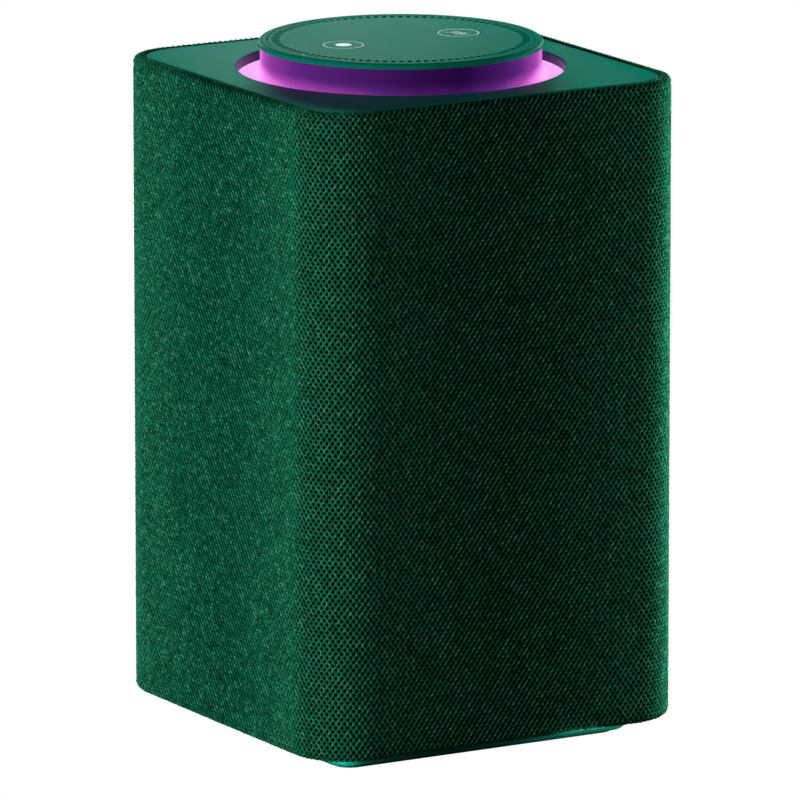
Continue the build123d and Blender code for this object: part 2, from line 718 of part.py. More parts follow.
WINDOW_PITCH_X, WINDOW_PITCH_Z = 11.0, 40.0
with BuildPart() as grille_shell:
    with BuildSketch(Plane.XY.offset(SLEEVE_BOTTOM + KNIT)):
        square(SHELL_HALF, corner_of(SHELL_HALF))
        RectangleRounded(2 * SHELL_INNER, 2 * SHELL_INNER, corner_of(SHELL_INNER), mode=Mode.SUBTRACT)
    extrude(amount=SLEEVE_TOP - KNIT - (SLEEVE_BOTTOM + KNIT))
    for outward in ((0, -1, 0), (-1, 0, 0), (1, 0, 0)):
        middle = Vector(0, 0, 104) + Vector(*outward) * (SHELL_HALF + 1)
        with BuildSketch(Plane(origin=middle, x_dir=(0, 0, 1), z_dir=outward)):
            with GridLocations(WINDOW_PITCH_Z, WINDOW_PITCH_X, 5, 9):
                RectangleRounded(34, 8, 3.9)
        extrude(amount=-(SHELL_WALL + 2), mode=Mode.SUBTRACT)
    with BuildSketch(Plane(origin=(0, SHELL_INNER - 1, 0), x_dir=(-1, 0, 0), z_dir=(0, 1, 0))):
        with Locations((0, BAY_Z)):
            RectangleRounded(BAY_WIDTH + 0.4, BAY_HEIGHT + 0.4, 4.2)
    extrude(amount=SHELL_WALL + 2, mode=Mode.SUBTRACT)
grille_shell.part.label = "grille_shell"
export_step(grille_shell.part, "parts/grille_shell.step")

LIP_DEPTH = 5.0
with BuildPart() as knit_sleeve:
    with BuildSketch(Plane.XY.offset(SLEEVE_BOTTOM)):
        square(SLEEVE_HALF, BODY_CORNER)
    extrude(amount=SLEEVE_TOP - SLEEVE_BOTTOM)
    fillet(knit_sleeve.edges().group_by(Axis.Z)[0], radius=2.5)
    fillet(knit_sleeve.edges().group_by(Axis.Z)[-1], radius=2.1)
    with BuildSketch(Plane.XY):
        square(RIM_INNER, corner_of(RIM_INNER))
    extrude(amount=TOTAL_HEIGHT, mode=Mode.SUBTRACT)
    fillet(knit_sleeve.edges().group_by(Axis.Z)[-1], radius=1.9)
    with BuildSketch(Plane.XY.offset(SLEEVE_BOTTOM + KNIT)):
        square(SHELL_HALF, corner_of(SHELL_HALF))
    extrude(amount=SLEEVE_TOP - LIP_DEPTH - SLEEVE_BOTTOM - KNIT, mode=Mode.SUBTRACT)
    with BuildSketch(Plane.XY.offset(SLEEVE_TOP - LIP_DEPTH - 1)):
        square(SHELL_HALF, corner_of(SHELL_HALF))
        RectangleRounded(2 * SHELL_INNER, 2 * SHELL_INNER, corner_of(SHELL_INNER), mode=Mode.SUBTRACT)
    extrude(amount=LIP_DEPTH + 1 - KNIT, mode=Mode.SUBTRACT)
    with BuildSketch(Plane(origin=(0, SHELL_INNER - 1, 0), x_dir=(-1, 0, 0), z_dir=(0, 1, 0))):
        with Locations((0, BAY_Z)):
            RectangleRounded(BAY_WIDTH + 0.4, BAY_HEIGHT + 0.4, 4.2)
    extrude(amount=8, mode=Mode.SUBTRACT)
knit_sleeve.part.label = "knit_sleeve"
export_step(knit_sleeve.part, "parts/knit_sleeve.step")

# ---- Top chassis, plate and light ----

with BuildPart() as top_chassis:
    with BuildSketch(Plane.XY.offset(CHASSIS_BOTTOM)):
        square(CHASSIS_HALF, 12)
        with Locations((0, RIBBON_IN_Y)):
            RectangleRounded(RIBBON_WIDTH + 6, 7, 2, mode=Mode.SUBTRACT)
        with Locations((PINION_X, 0)):
            Circle(3.6, mode=Mode.SUBTRACT)
        with PolarLocations(HUB_POSTS_R, 3, start_angle=HUB_POST_ANGLES[0]):
            Circle(PILOT_R + 0.1, mode=Mode.SUBTRACT)
        with Locations(*PLATE_POSTS):
            Circle(PILOT_R + 0.1, mode=Mode.SUBTRACT)
        with Locations((-34, 0), (0, 0)):
            RectangleRounded(16, 22, 3, mode=Mode.SUBTRACT)
    extrude(amount=CHASSIS_TOP - CHASSIS_BOTTOM)
    with BuildSketch(Plane.XY.offset(LID_TOP)):
        with Locations(*CHASSIS_POSTS):
            Circle(4)
    extrude(amount=CHASSIS_BOTTOM - LID_TOP)
    with BuildSketch(Plane.XY.offset(CHASSIS_TOP)):
        with PolarLocations(LED_R, 6, start_angle=30):
            Circle(1.8)
    extrude(amount=3.8)
    with BuildSketch(Plane.XY.offset(LID_TOP)):
        with Locations(*CHASSIS_POSTS):
            Circle(PILOT_R + 0.1)
    extrude(amount=CHASSIS_TOP - LID_TOP, mode=Mode.SUBTRACT)
top_chassis.part.label = "top_chassis"
export_step(top_chassis.part, "parts/top_chassis.step")

with BuildPart() as top_plate:
    with BuildSketch(Plane.XY.offset(PLATE_TOP - 2.5)):
        square(PLATE_HALF, corner_of(PLATE_HALF))
    extrude(amount=2.5)
    fillet(top_plate.edges().group_by(Axis.Z)[-1], radius=0.5)
    with BuildSketch(Plane.XY.offset(WELL_FLOOR - 2.4)):
        Circle(WELL_R + 2)
    extrude(amount=PLATE_TOP - 1 - (WELL_FLOOR - 2.4))
    with BuildSketch(Plane.XY.offset(WELL_FLOOR - DIFFUSER_WALL)):
        Circle(WELL_R)
    extrude(amount=10, mode=Mode.SUBTRACT)
    with BuildSketch(Plane.XY.offset(CHASSIS_TOP)):
        Circle(WELL_R - 1.5)
    extrude(amount=20, mode=Mode.SUBTRACT)
    well_rim = top_plate.edges().filter_by(GeomType.CIRCLE).group_by(Axis.Z)[-1]
    fillet([e for e in well_rim if abs(e.radius - WELL_R) < 0.1], radius=0.4)
    with BuildSketch(Plane.XY.offset(CHASSIS_TOP)):
        with Locations(*PLATE_POSTS):
            Circle(4)
    extrude(amount=PLATE_TOP - 2 - CHASSIS_TOP)
    with BuildSketch(Plane.XY.offset(CHASSIS_TOP)):
        with Locations(*PLATE_POSTS):
            Circle(PILOT_R)
    extrude(amount=9, mode=Mode.SUBTRACT)
top_plate.part.label = "top_plate"
export_step(top_plate.part, "parts/top_plate.step")

with BuildPart() as led_board:
    with BuildSketch(Plane.XY.offset(CHASSIS_TOP + 3.8)):
        Circle(52.8)
        Circle(47.4, mode=Mode.SUBTRACT)
    extrude(amount=BOARD_THICK)
led_board.part.label = "led_board"
export_step(led_board.part, "parts/led_board.step")

with BuildPart() as leds:
    with BuildSketch(Plane.XY.offset(CHASSIS_TOP + 3.8 + BOARD_THICK)):
        with PolarLocations(LED_R, LED_COUNT):
            Rectangle(2.8, 2.8)
    extrude(amount=0.9)
leds.part.label = "leds"
export_step(leds.part, "parts/leds.step")

FLARE_X = WAIST_R + FLARE_R
FLARE_Z = WELL_FLOOR + FLARE_R
INNER_FLARE = FLARE_R + DIFFUSER_WALL
DIFFUSER_TOP = RIM_BOTTOM - 0.3
HALF_TURN = sin(pi / 4)
with BuildPart() as light_diffuser:
    with BuildSketch(Plane.XZ):
        with BuildLine():
            Line((WAIST_R, DIFFUSER_TOP), (WAIST_R, FLARE_Z))
            ThreePointArc(
                (WAIST_R, FLARE_Z),
                (FLARE_X - FLARE_R * HALF_TURN, FLARE_Z - FLARE_R * HALF_TURN),
                (FLARE_X, WELL_FLOOR),
            )
            Polyline(
                (FLARE_X, WELL_FLOOR), (WELL_R - 0.1, WELL_FLOOR), (WELL_R - 0.1, WELL_FLOOR - DIFFUSER_WALL),
                (FLARE_X, WELL_FLOOR - DIFFUSER_WALL),
            )
            ThreePointArc(
                (FLARE_X, WELL_FLOOR - DIFFUSER_WALL),
                (FLARE_X - INNER_FLARE * HALF_TURN, FLARE_Z - INNER_FLARE * HALF_TURN),
                (WAIST_R - DIFFUSER_WALL, FLARE_Z),
            )
            Polyline(
                (WAIST_R - DIFFUSER_WALL, FLARE_Z), (WAIST_R - DIFFUSER_WALL, DIFFUSER_TOP),
                (WAIST_R, DIFFUSER_TOP),
            )
        make_face()
    revolve(axis=Axis.Z)
light_diffuser.part.label = "light_diffuser"
export_step(light_diffuser.part, "parts/light_diffuser.step")

# ---- Control head ----

with BuildPart() as control_hub:
    with BuildSketch(Plane.XY.offset(HUB_BOTTOM)):
        Circle(RING_BORE_R - RUNNING_FIT)
        with Locations((0, RIBBON_IN_Y)):
            RectangleRounded(RIBBON_WIDTH + 3, 5, 2, mode=Mode.SUBTRACT)
    extrude(amount=CONTROL_BOTTOM - HUB_BOTTOM)
    with BuildSketch(Plane.XY.offset(HUB_FLOOR_TOP)):
        Circle(RING_BORE_R - RUNNING_FIT - 1.25)
    extrude(amount=20, mode=Mode.SUBTRACT)
    with BuildSketch(Plane.XY.offset(HUB_FLOOR_TOP)):
        with PolarLocations(28, 4, start_angle=45):
            Circle(3.2)
    extrude(amount=MIC_BOARD_BOTTOM - HUB_FLOOR_TOP)
    with BuildSketch(Plane.XY.offset(CHASSIS_TOP)):
        with PolarLocations(HUB_POSTS_R, 3, start_angle=HUB_POST_ANGLES[0]):
            Circle(4)
    extrude(amount=HUB_BOTTOM - CHASSIS_TOP)
    with BuildSketch(Plane.XY.offset(CHASSIS_TOP)):
        with PolarLocations(HUB_POSTS_R, 3, start_angle=HUB_POST_ANGLES[0]):
            Circle(PILOT_R)
    extrude(amount=6, mode=Mode.SUBTRACT)
    with BuildSketch(Plane.XY.offset(MIC_BOARD_BOTTOM)):
        with PolarLocations(28, 4, start_angle=45):
            Circle(PILOT_R)
    extrude(amount=-4, mode=Mode.SUBTRACT)
control_hub.part.label = "control_hub"
export_step(control_hub.part, "parts/control_hub.step")

with BuildPart() as ring_bearing:
    with BuildSketch(Plane.XY.offset(CHASSIS_TOP)):
        Circle(BAND_R)
        Circle(RING_BORE_R, mode=Mode.SUBTRACT)
    extrude(amount=TEETH_BOTTOM - CHASSIS_TOP - 0.1)
ring_bearing.part.label = "ring_bearing"
export_step(ring_bearing.part, "parts/ring_bearing.step")

ring_pitch_r = MODULE * RING_TEETH / 2
ring_space = gear_outline(RING_TEETH, ring_pitch_r - 0.65, ring_pitch_r + 0.95, -TOOTH_THINNING)
with BuildPart() as volume_ring:
    with BuildSketch(Plane.XZ):
        with BuildLine():
            Polyline((RING_BORE_R, TEETH_BOTTOM), (BAND_R, TEETH_BOTTOM), (BAND_R, BAND_TOP), (SKIRT_R, BAND_TOP))
            Polyline((SKIRT_R, BAND_TOP), (SKIRT_R, RIM_BOTTOM), (RIM_R, RIM_BOTTOM), (RIM_R, TOTAL_HEIGHT - 1.4))
            ThreePointArc(
                (RIM_R, TOTAL_HEIGHT - 1.4), (RIM_R - 0.33, TOTAL_HEIGHT - 0.5), (RIM_TOP_R, TOTAL_HEIGHT)
            )
            Polyline(
                (RIM_TOP_R, TOTAL_HEIGHT), (RING_BORE_R + 0.15, TOTAL_HEIGHT), (RING_BORE_R, TOTAL_HEIGHT - 0.15),
                (RING_BORE_R, TEETH_BOTTOM),
            )
        make_face()
    revolve(axis=Axis.Z)
    with BuildSketch(Plane.XY.offset(TEETH_BOTTOM)):
        Circle(RING_BORE_R + 0.2)
        with BuildLine():
            Polyline(*ring_space, close=True)
        make_face(mode=Mode.SUBTRACT)
    extrude(amount=TEETH_TOP - TEETH_BOTTOM)
volume_ring.part.label = "volume_ring"
export_step(volume_ring.part, "parts/volume_ring.step")

pinion_points = gear_outline(
    PINION_TEETH, MODULE * PINION_TEETH / 2 - 0.95, MODULE * PINION_TEETH / 2 + 0.65, TOOTH_THINNING
)
with BuildPart() as encoder_pinion:
    with BuildSketch(Plane(origin=(PINION_X, 0, TEETH_BOTTOM))):
        with BuildLine():
            Polyline(*pinion_points, close=True)
        make_face()
    extrude(amount=TEETH_TOP - TEETH_BOTTOM)
    with BuildSketch(Plane(origin=(PINION_X, 0, CHASSIS_BOTTOM - 5))):
        Circle(PINION_SHAFT_R)
    extrude(amount=TEETH_BOTTOM - CHASSIS_BOTTOM + 5)
encoder_pinion.part.label = "encoder_pinion"
export_step(encoder_pinion.part, "parts/encoder_pinion.step")

with BuildPart() as encoder_body:
    with BuildSketch(Plane(origin=(PINION_X, 0, CHASSIS_BOTTOM))):
        RectangleRounded(13, 12, 1)
    extrude(amount=-6.5)
    with BuildSketch(Plane(origin=(PINION_X, 0, CHASSIS_BOTTOM))):
        Circle(3.4)
    extrude(amount=2.6)
    with BuildSketch(Plane(origin=(PINION_X, 0, CHASSIS_BOTTOM - 5.4))):
        Circle(PINION_SHAFT_R + RUNNING_FIT)
    extrude(amount=10, mode=Mode.SUBTRACT)
encoder_body.part.label = "encoder_body"
export_step(encoder_body.part, "parts/encoder_body.step")

with BuildPart() as mic_board:
    with BuildSketch(Plane.XY.offset(MIC_BOARD_BOTTOM)):
        Circle(42.9)
        with PolarLocations(28, 4, start_angle=45):
            Circle(PILOT_R + 0.1, mode=Mode.SUBTRACT)
    extrude(amount=BOARD_THICK)
mic_board.part.label = "mic_board"
export_step(mic_board.part, "parts/mic_board.step")

with BuildPart() as microphones:
    with BuildSketch(Plane.XY.offset(MIC_BOARD_TOP)):
        with PolarLocations(MIC_R, MIC_COUNT, start_angle=90):
            RectangleRounded(2.65, 3.6, 0.3)
    extrude(amount=1.0)
    with BuildSketch(Plane.XY.offset(MIC_BOARD_TOP + 1.0)):
        with PolarLocations(MIC_R, MIC_COUNT, start_angle=90):
            Circle(0.35)
    extrude(amount=-0.5, mode=Mode.SUBTRACT)
microphones.part.label = "microphones"
export_step(microphones.part, "parts/microphones.step")

with BuildPart() as mic_gasket:
    with BuildSketch(Plane.XY.offset(MIC_BOARD_TOP)):
        Circle(42.9)
        Circle(37.2, mode=Mode.SUBTRACT)
        with PolarLocations(MIC_R, MIC_COUNT, start_angle=90):
            RectangleRounded(3.1, 4.2, 0.4, mode=Mode.SUBTRACT)
    extrude(amount=MESH_BOTTOM - MIC_BOARD_TOP)
mic_gasket.part.label = "mic_gasket"
export_step(mic_gasket.part, "parts/mic_gasket.step")

with BuildPart() as mic_mesh:
    with BuildSketch(Plane.XY.offset(MESH_BOTTOM)):
        Circle(43.1)
        Circle(38.2, mode=Mode.SUBTRACT)
    extrude(amount=CONTROL_BOTTOM - MESH_BOTTOM)
mic_mesh.part.label = "mic_mesh"
export_step(mic_mesh.part, "parts/mic_mesh.step")

with BuildPart() as control_plate:
    with BuildSketch(Plane.XY.offset(CONTROL_BOTTOM)):
        Circle(CONTROL_R)
        with Locations((-BUTTON_X, 0), (BUTTON_X, 0)):
            Circle(BUTTON_R + BUTTON_GAP, mode=Mode.SUBTRACT)
        with PolarLocations((SLOT_IN_R + SLOT_OUT_R) / 2, SLOT_COUNT):
            SlotOverall(SLOT_OUT_R - SLOT_IN_R, SLOT_WIDTH, mode=Mode.SUBTRACT)
    extrude(amount=CONTROL_TOP - CONTROL_BOTTOM)
    with BuildSketch(Plane.XY.offset(CONTROL_BOTTOM)):
        with PolarLocations(31, 3, start_angle=90):
            Circle(2.5)
    extrude(amount=-(CONTROL_BOTTOM - MIC_BOARD_TOP))
control_plate.part.label = "control_plate"
export_step(control_plate.part, "parts/control_plate.step")

# ---- Buttons: a flush cap, a retaining flange and a stem that meets the switch plunger ----

FLANGE_TOP, FLANGE_LOW, STEM_LOW = 228.2, 227.2, 226.0
SWITCH_TOP, PLUNGER_LOW = 225.0, 224.2
for name, x in (("activate", -BUTTON_X), ("mute", BUTTON_X)):
    with BuildPart() as button:
        with BuildSketch(Plane(origin=(x, 0, FLANGE_TOP))):
            Circle(BUTTON_R)
        extrude(amount=CONTROL_TOP - FLANGE_TOP)
        chamfer(button.edges().group_by(Axis.Z)[-1], length=0.2)
        with BuildSketch(Plane(origin=(x, 0, FLANGE_LOW))):
            Circle(BUTTON_R + 1.25)
        extrude(amount=FLANGE_TOP - FLANGE_LOW)
        with BuildSketch(Plane(origin=(x, 0, STEM_LOW))):
            Circle(1.6)
        extrude(amount=FLANGE_LOW - STEM_LOW)
    button.part.label = f"{name}_button"
    export_step(button.part, f"parts/{name}_button.step")

    with BuildPart() as plunger:
        with BuildSketch(Plane(origin=(x, 0, PLUNGER_LOW))):
            Circle(1.3)
        extrude(amount=STEM_LOW - PLUNGER_LOW)
    plunger.part.label = f"{name}_plunger"
    export_step(plunger.part, f"parts/{name}_plunger.step")

with BuildPart() as button_switches:
    with BuildSketch(Plane.XY.offset(MIC_BOARD_TOP)):
        with Locations((-BUTTON_X, 0), (BUTTON_X, 0)):
            RectangleRounded(6, 6, 0.5)
    extrude(amount=SWITCH_TOP - MIC_BOARD_TOP)
    with BuildSketch(Plane.XY.offset(PLUNGER_LOW - 0.8)):
        with Locations((-BUTTON_X, 0), (BUTTON_X, 0)):
            Circle(1.35)
    extrude(amount=3, mode=Mode.SUBTRACT)
button_switches.part.label = "button_switches"
export_step(button_switches.part, "parts/button_switches.step")

# ---- Case screws: (place, seat of the head, length of the shank, +1 when the shank points up) ----

hub_posts = [(HUB_POSTS_R * cos(radians(a)), HUB_POSTS_R * sin(radians(a))) for a in HUB_POST_ANGLES]
CASE_SCREWS = [
    (BASE_SCREWS, PLINTH_BOTTOM + 2.1, 14.5, 1),
    (LID_SCREWS, LID_TOP, 14.0, -1),
    (CHASSIS_POSTS, CHASSIS_TOP, CHASSIS_TOP - LID_TOP + 2.5, -1),
    (PLATE_POSTS, CHASSIS_BOTTOM, 10.0, 1),
    (hub_posts, CHASSIS_BOTTOM, 7.0, 1),
]
with BuildPart() as case_screws:
    for points, seat_z, shank, up in CASE_SCREWS:
        with BuildSketch(Plane.XY.offset(seat_z)):
            with Locations(*points):
                Circle(SCREW_HEAD_R)
        extrude(amount=-up * SCREW_HEAD_H)
        with BuildSketch(Plane.XY.offset(seat_z)):
            with Locations(*points):
                Circle(SCREW_R)
        extrude(amount=up * shank)
        with BuildSketch(Plane.XY.offset(seat_z - up * SCREW_HEAD_H)):
            with Locations(*points):
                Rectangle(2.8, 0.6)
                Rectangle(0.6, 2.8)
        extrude(amount=up * 0.9, mode=Mode.SUBTRACT)
case_screws.part.label = "case_screws"
export_step(case_screws.part, "parts/case_screws.step")
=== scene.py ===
import json
import logging
import math
from dataclasses import dataclass
from enum import Enum
from typing import Any

import bpy
import numpy as np
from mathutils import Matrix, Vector


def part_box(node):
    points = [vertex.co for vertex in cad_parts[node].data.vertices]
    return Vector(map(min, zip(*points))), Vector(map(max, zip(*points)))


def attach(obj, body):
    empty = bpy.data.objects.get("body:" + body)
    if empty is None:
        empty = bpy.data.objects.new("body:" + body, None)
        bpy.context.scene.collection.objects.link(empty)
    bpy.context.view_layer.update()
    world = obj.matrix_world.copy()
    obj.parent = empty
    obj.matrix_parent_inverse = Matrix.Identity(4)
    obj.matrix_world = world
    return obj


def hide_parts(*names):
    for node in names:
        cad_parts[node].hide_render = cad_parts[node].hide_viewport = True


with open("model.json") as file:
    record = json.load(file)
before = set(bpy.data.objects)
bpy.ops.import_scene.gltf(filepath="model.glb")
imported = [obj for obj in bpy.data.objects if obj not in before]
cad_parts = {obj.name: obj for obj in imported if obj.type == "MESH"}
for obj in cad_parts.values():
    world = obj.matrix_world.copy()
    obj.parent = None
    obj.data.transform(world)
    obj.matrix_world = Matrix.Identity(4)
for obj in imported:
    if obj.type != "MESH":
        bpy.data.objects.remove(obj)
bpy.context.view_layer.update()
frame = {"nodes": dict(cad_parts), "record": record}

LOG = logging.getLogger("smart_speaker")
MM = 0.001
Colour = tuple[float, float, float, float]
Array = np.ndarray


def rgb(red: float, green: float, blue: float) -> Colour:
    """A linear colour from display values of 0 to 255.

    Args:
        red, green, blue: the display values.
    Returns:
        The colour with full alpha.
    """
    parts = (value / 255 for value in (red, green, blue))
    return (*(p / 12.92 if p <= 0.04045 else ((p + 0.055) / 1.055) ** 2.4 for p in parts), 1.0)


def shade(colour: Colour, factor: float) -> Colour:
    """The same hue, lighter or darker by the factor."""
    return (*(min(1.0, part * factor) for part in colour[:3]), colour[3])


# ---------------------------------------------------------------- shader graphs


class Sock:
    """One output of a node. Arithmetic on it adds Math nodes to its graph."""

    def __init__(self, graph: "Graph", output: bpy.types.NodeSocket) -> None:
        """Args: graph: the graph it belongs to. output: the socket."""
        self.graph = graph
        self.output = output

    def _op(self, operation: str, *values: "Sock | float", clamp: bool = False) -> "Sock":
        """A Math node of that operation on the values, in order."""
        settings = {"operation": operation, "use_clamp": clamp}
        return self.graph.node("ShaderNodeMath", settings, dict(enumerate(values)))

    def __add__(self, other: "Sock | float") -> "Sock":
        """self + other"""
        return self._op("ADD", self, other)

    def __radd__(self, other: "Sock | float") -> "Sock":
        """other + self"""
        return self._op("ADD", other, self)

    def __sub__(self, other: "Sock | float") -> "Sock":
        """self - other"""
        return self._op("SUBTRACT", self, other)

    def __rsub__(self, other: "Sock | float") -> "Sock":
        """other - self"""
        return self._op("SUBTRACT", other, self)

    def __mul__(self, other: "Sock | float") -> "Sock":
        """self * other"""
        return self._op("MULTIPLY", self, other)

    def __rmul__(self, other: "Sock | float") -> "Sock":
        """other * self"""
        return self._op("MULTIPLY", other, self)

    def __truediv__(self, other: "Sock | float") -> "Sock":
        """self / other"""
        return self._op("DIVIDE", self, other)

    def __pow__(self, other: "Sock | float") -> "Sock":
        """self to the power other"""
        return self._op("POWER", self, other)

    def lower(self, other: "Sock | float") -> "Sock":
        """The smaller of the two."""
        return self._op("MINIMUM", self, other)

    def upper(self, other: "Sock | float") -> "Sock":
        """The larger of the two."""
        return self._op("MAXIMUM", self, other)

    def clamped(self) -> "Sock":
        """Held between 0 and 1."""
        return self._op("ADD", self, 0.0, clamp=True)

    def floored(self) -> "Sock":
        """The whole number below."""
        return self._op("FLOOR", self)

    def fold(self, half: float) -> "Sock":
        """Distance to the nearest multiple of twice half."""
        return self._op("PINGPONG", self, half)

    def sine(self) -> "Sock":
        """The sine, of radians."""
        return self._op("SINE", self)

    def turned(self, other: "Sock") -> "Sock":
        """The angle whose tangent is self over other, in radians."""
        return self._op("ARCTAN2", self, other)

    def ease(self, low: float, high: float) -> "Sock":
        """0 at low, 1 at high, and smooth between; low may be the larger."""
        settings = {"interpolation_type": "SMOOTHSTEP"}
        return self.graph.node("ShaderNodeMapRange", settings, {0: self, 1: low, 2: high})

    def other(self, name: str) -> "Sock":
        """Another output of the same node, by name."""
        return Sock(self.graph, self.output.node.outputs[name])


class Graph:
    """A node tree, with one method that adds every kind of node."""

    def __init__(self, tree: bpy.types.NodeTree) -> None:
        """Args: tree: the tree to fill, which is emptied first."""
        self.tree = tree
        tree.nodes.clear()

    def node(
        self,
        kind: str,
        settings: dict[str, Any] | None = None,
        inputs: dict[int | str, Any] | None = None,
        output: int | str = 0,
    ) -> Sock:
        """Adds a node.

        Args:
            kind: the node's type.
            settings: its own settings; "stops" are a ramp's (position, colour) pairs.
            inputs: a value or a Sock for each socket that is set.
            output: which output comes back.
        Returns:
            That output.
        """
        made = self.tree.nodes.new(kind)
        for key, value in (settings or {}).items():
            if key == "stops":
                self._stops(made.color_ramp.elements, value)
            else:
                setattr(made, key, value)
        for key, value in (inputs or {}).items():
            if isinstance(value, Sock):
                self.tree.links.new(value.output, made.inputs[key])
            else:
                made.inputs[key].default_value = value
        return Sock(self, made.outputs[output]) if made.outputs else Sock(self, None)

    @staticmethod
    def _stops(elements: Any, stops: list[tuple[float, Colour]]) -> None:
        """Gives a ramp these stops."""
        while len(elements) < len(stops):
            elements.new(1.0)
        for element, (position, colour) in zip(elements, stops):
            element.position = position
            element.color = colour

    def place(self) -> Sock:
        """Object coordinates, in metres."""
        return self.node("ShaderNodeTexCoord", output="Object")

    def axes(self, vector: Sock) -> tuple[Sock, Sock, Sock]:
        """A vector's three parts."""
        x = self.node("ShaderNodeSeparateXYZ", inputs={0: vector})
        return x, x.other("Y"), x.other("Z")

    def vector(self, x: Sock | float, y: Sock | float, z: Sock | float) -> Sock:
        """A vector of three parts."""
        return self.node("ShaderNodeCombineXYZ", inputs={0: x, 1: y, 2: z})

    def noise(self, vector: Sock, size: float, detail: float = 2.0, rough: float = 0.5) -> Sock:
        """Cloudy noise of 0 to 1, with features of that size in metres."""
        inputs = {"Vector": vector, "Scale": 1.0 / size, "Detail": detail, "Roughness": rough}
        return self.node("ShaderNodeTexNoise", inputs=inputs)

    def random(self, vector: Sock) -> Sock:
        """One random value for each vector."""
        return self.node("ShaderNodeTexWhiteNoise", {"noise_dimensions": "3D"}, {"Vector": vector})

    def cells(self, vector: Sock, size: float, feature: str = "F1") -> Sock:
        """Distance within a pattern of cells of that size."""
        settings = {"feature": feature}
        return self.node("ShaderNodeTexVoronoi", settings, {"Vector": vector, "Scale": 1.0 / size})

    def mix(self, factor: Sock | float, a: Sock | Colour, b: Sock | Colour) -> Sock:
        """A colour between a and b."""
        return self.node("ShaderNodeMix", {"data_type": "RGBA"}, {0: factor, 6: a, 7: b}, 2)

    def tint(self, colour: Sock | Colour, by: Sock) -> Sock:
        """A colour made lighter or darker by a value."""
        inputs = {0: colour if isinstance(colour, Sock) else colour[:3], 3: by}
        return self.node("ShaderNodeVectorMath", {"operation": "SCALE"}, inputs)

    def bump(self, height: Sock, depth: float, normal: Sock | None = None) -> Sock:
        """A normal from a height of 0 to 1 that is depth metres tall."""
        inputs = {"Strength": 1.0, "Distance": depth, "Height": height}
        return self.node("ShaderNodeBump", inputs=inputs | ({"Normal": normal} if normal else {}))

    def surface(self, **sockets: Any) -> None:
        """Ends the tree in a Principled shader. Args: sockets: its inputs, with _ for a space."""
        inputs = {name.replace("_", " "): value for name, value in sockets.items()}
        shader = self.node("ShaderNodeBsdfPrincipled", inputs=inputs)
        self.node("ShaderNodeOutputMaterial", inputs={"Surface": shader})


# ---------------------------------------------------------------- finishes


@dataclass(frozen=True)
class Finish:
    """What a surface is made of. Each kind paints its own node tree."""

    name: str
    colour: Colour
    roughness: float = 0.5

    def material(self) -> bpy.types.Material:
        """The Blender material of this finish."""
        made = bpy.data.materials.new(self.name)
        made.use_nodes = True
        self.paint(Graph(made.node_tree))
        return made

    def paint(self, graph: Graph) -> None:
        """Fills the tree. Args: graph: an empty graph."""
        raise NotImplementedError

    @staticmethod
    def coat(graph: Graph, colour: Sock, rough: Sock, height: Sock, depth: float, **more: Any) -> None:
        """Ends the tree in a surface.

        Args:
            graph: the tree's graph.
            colour: the base colour.
            rough: the roughness, which is held between 0 and 1.
            height: the relief, of 0 to 1.
            depth: how tall that relief is, in metres.
            more: other sockets of the surface.
        """
        normal = graph.bump(height, depth)
        graph.surface(Base_Color=colour, Roughness=rough.clamped(), Normal=normal, **more)


@dataclass(frozen=True)
class Moulded(Finish):
    """Moulded plastic or rubber: a fine etched grain, and a faint cloudiness in colour and gloss."""

    grain: float = 0.35 * MM
    relief: float = 0.006 * MM
    cloud: float = 0.08
    specular: float = 0.5

    def paint(self, graph: Graph) -> None:
        """Grain in the bump and gloss, clouds and flow marks in the colour."""
        at = graph.place()
        grain = graph.noise(at, self.grain, 2.0, 0.6)
        cloud = graph.noise(at, 34 * MM, 3.0, 0.6)
        specks = graph.noise(at, 1.3 * MM, 2.0, 0.7)
        tone = 1.0 - self.cloud + self.cloud * 2 * cloud + 0.10 * (specks - 0.5)
        rough = self.roughness + 0.10 * (grain - 0.5) + 0.16 * (cloud - 0.5)
        colour = graph.tint(self.shell_colour(graph), tone)
        self.coat(graph, colour, rough, grain, self.relief, Specular_IOR_Level=self.specular)

    def shell_colour(self, graph: Graph) -> Sock | Colour:
        """The plain colour; a finish that varies over the part gives its own."""
        return self.colour


@dataclass(frozen=True)
class WellPlastic(Moulded):
    """The top plate's plastic: as moulded outside, and painted dark purple on the wall of its round well, as
    painted shade and painted glow from the lit ring.
    """

    well_radius: float = 54.6 * MM
    well_bottom: float = 214.0 * MM
    # painted shade and purple glow on the well wall, in place of the green plastic
    well_shade_and_glow: Colour = rgb(26, 0, 62)

    def shell_colour(self, graph: Graph) -> Sock | Colour:
        """The painted shade and glow, where the distance from the axis is no more than the well's radius."""
        x, y, z = graph.axes(graph.place())
        inside = ((x * x + y * y) ** 0.5).ease(self.well_radius + 0.3 * MM, self.well_radius)
        return graph.mix(inside * z.ease(self.well_bottom, self.well_bottom + MM), self.colour, self.well_shade_and_glow)


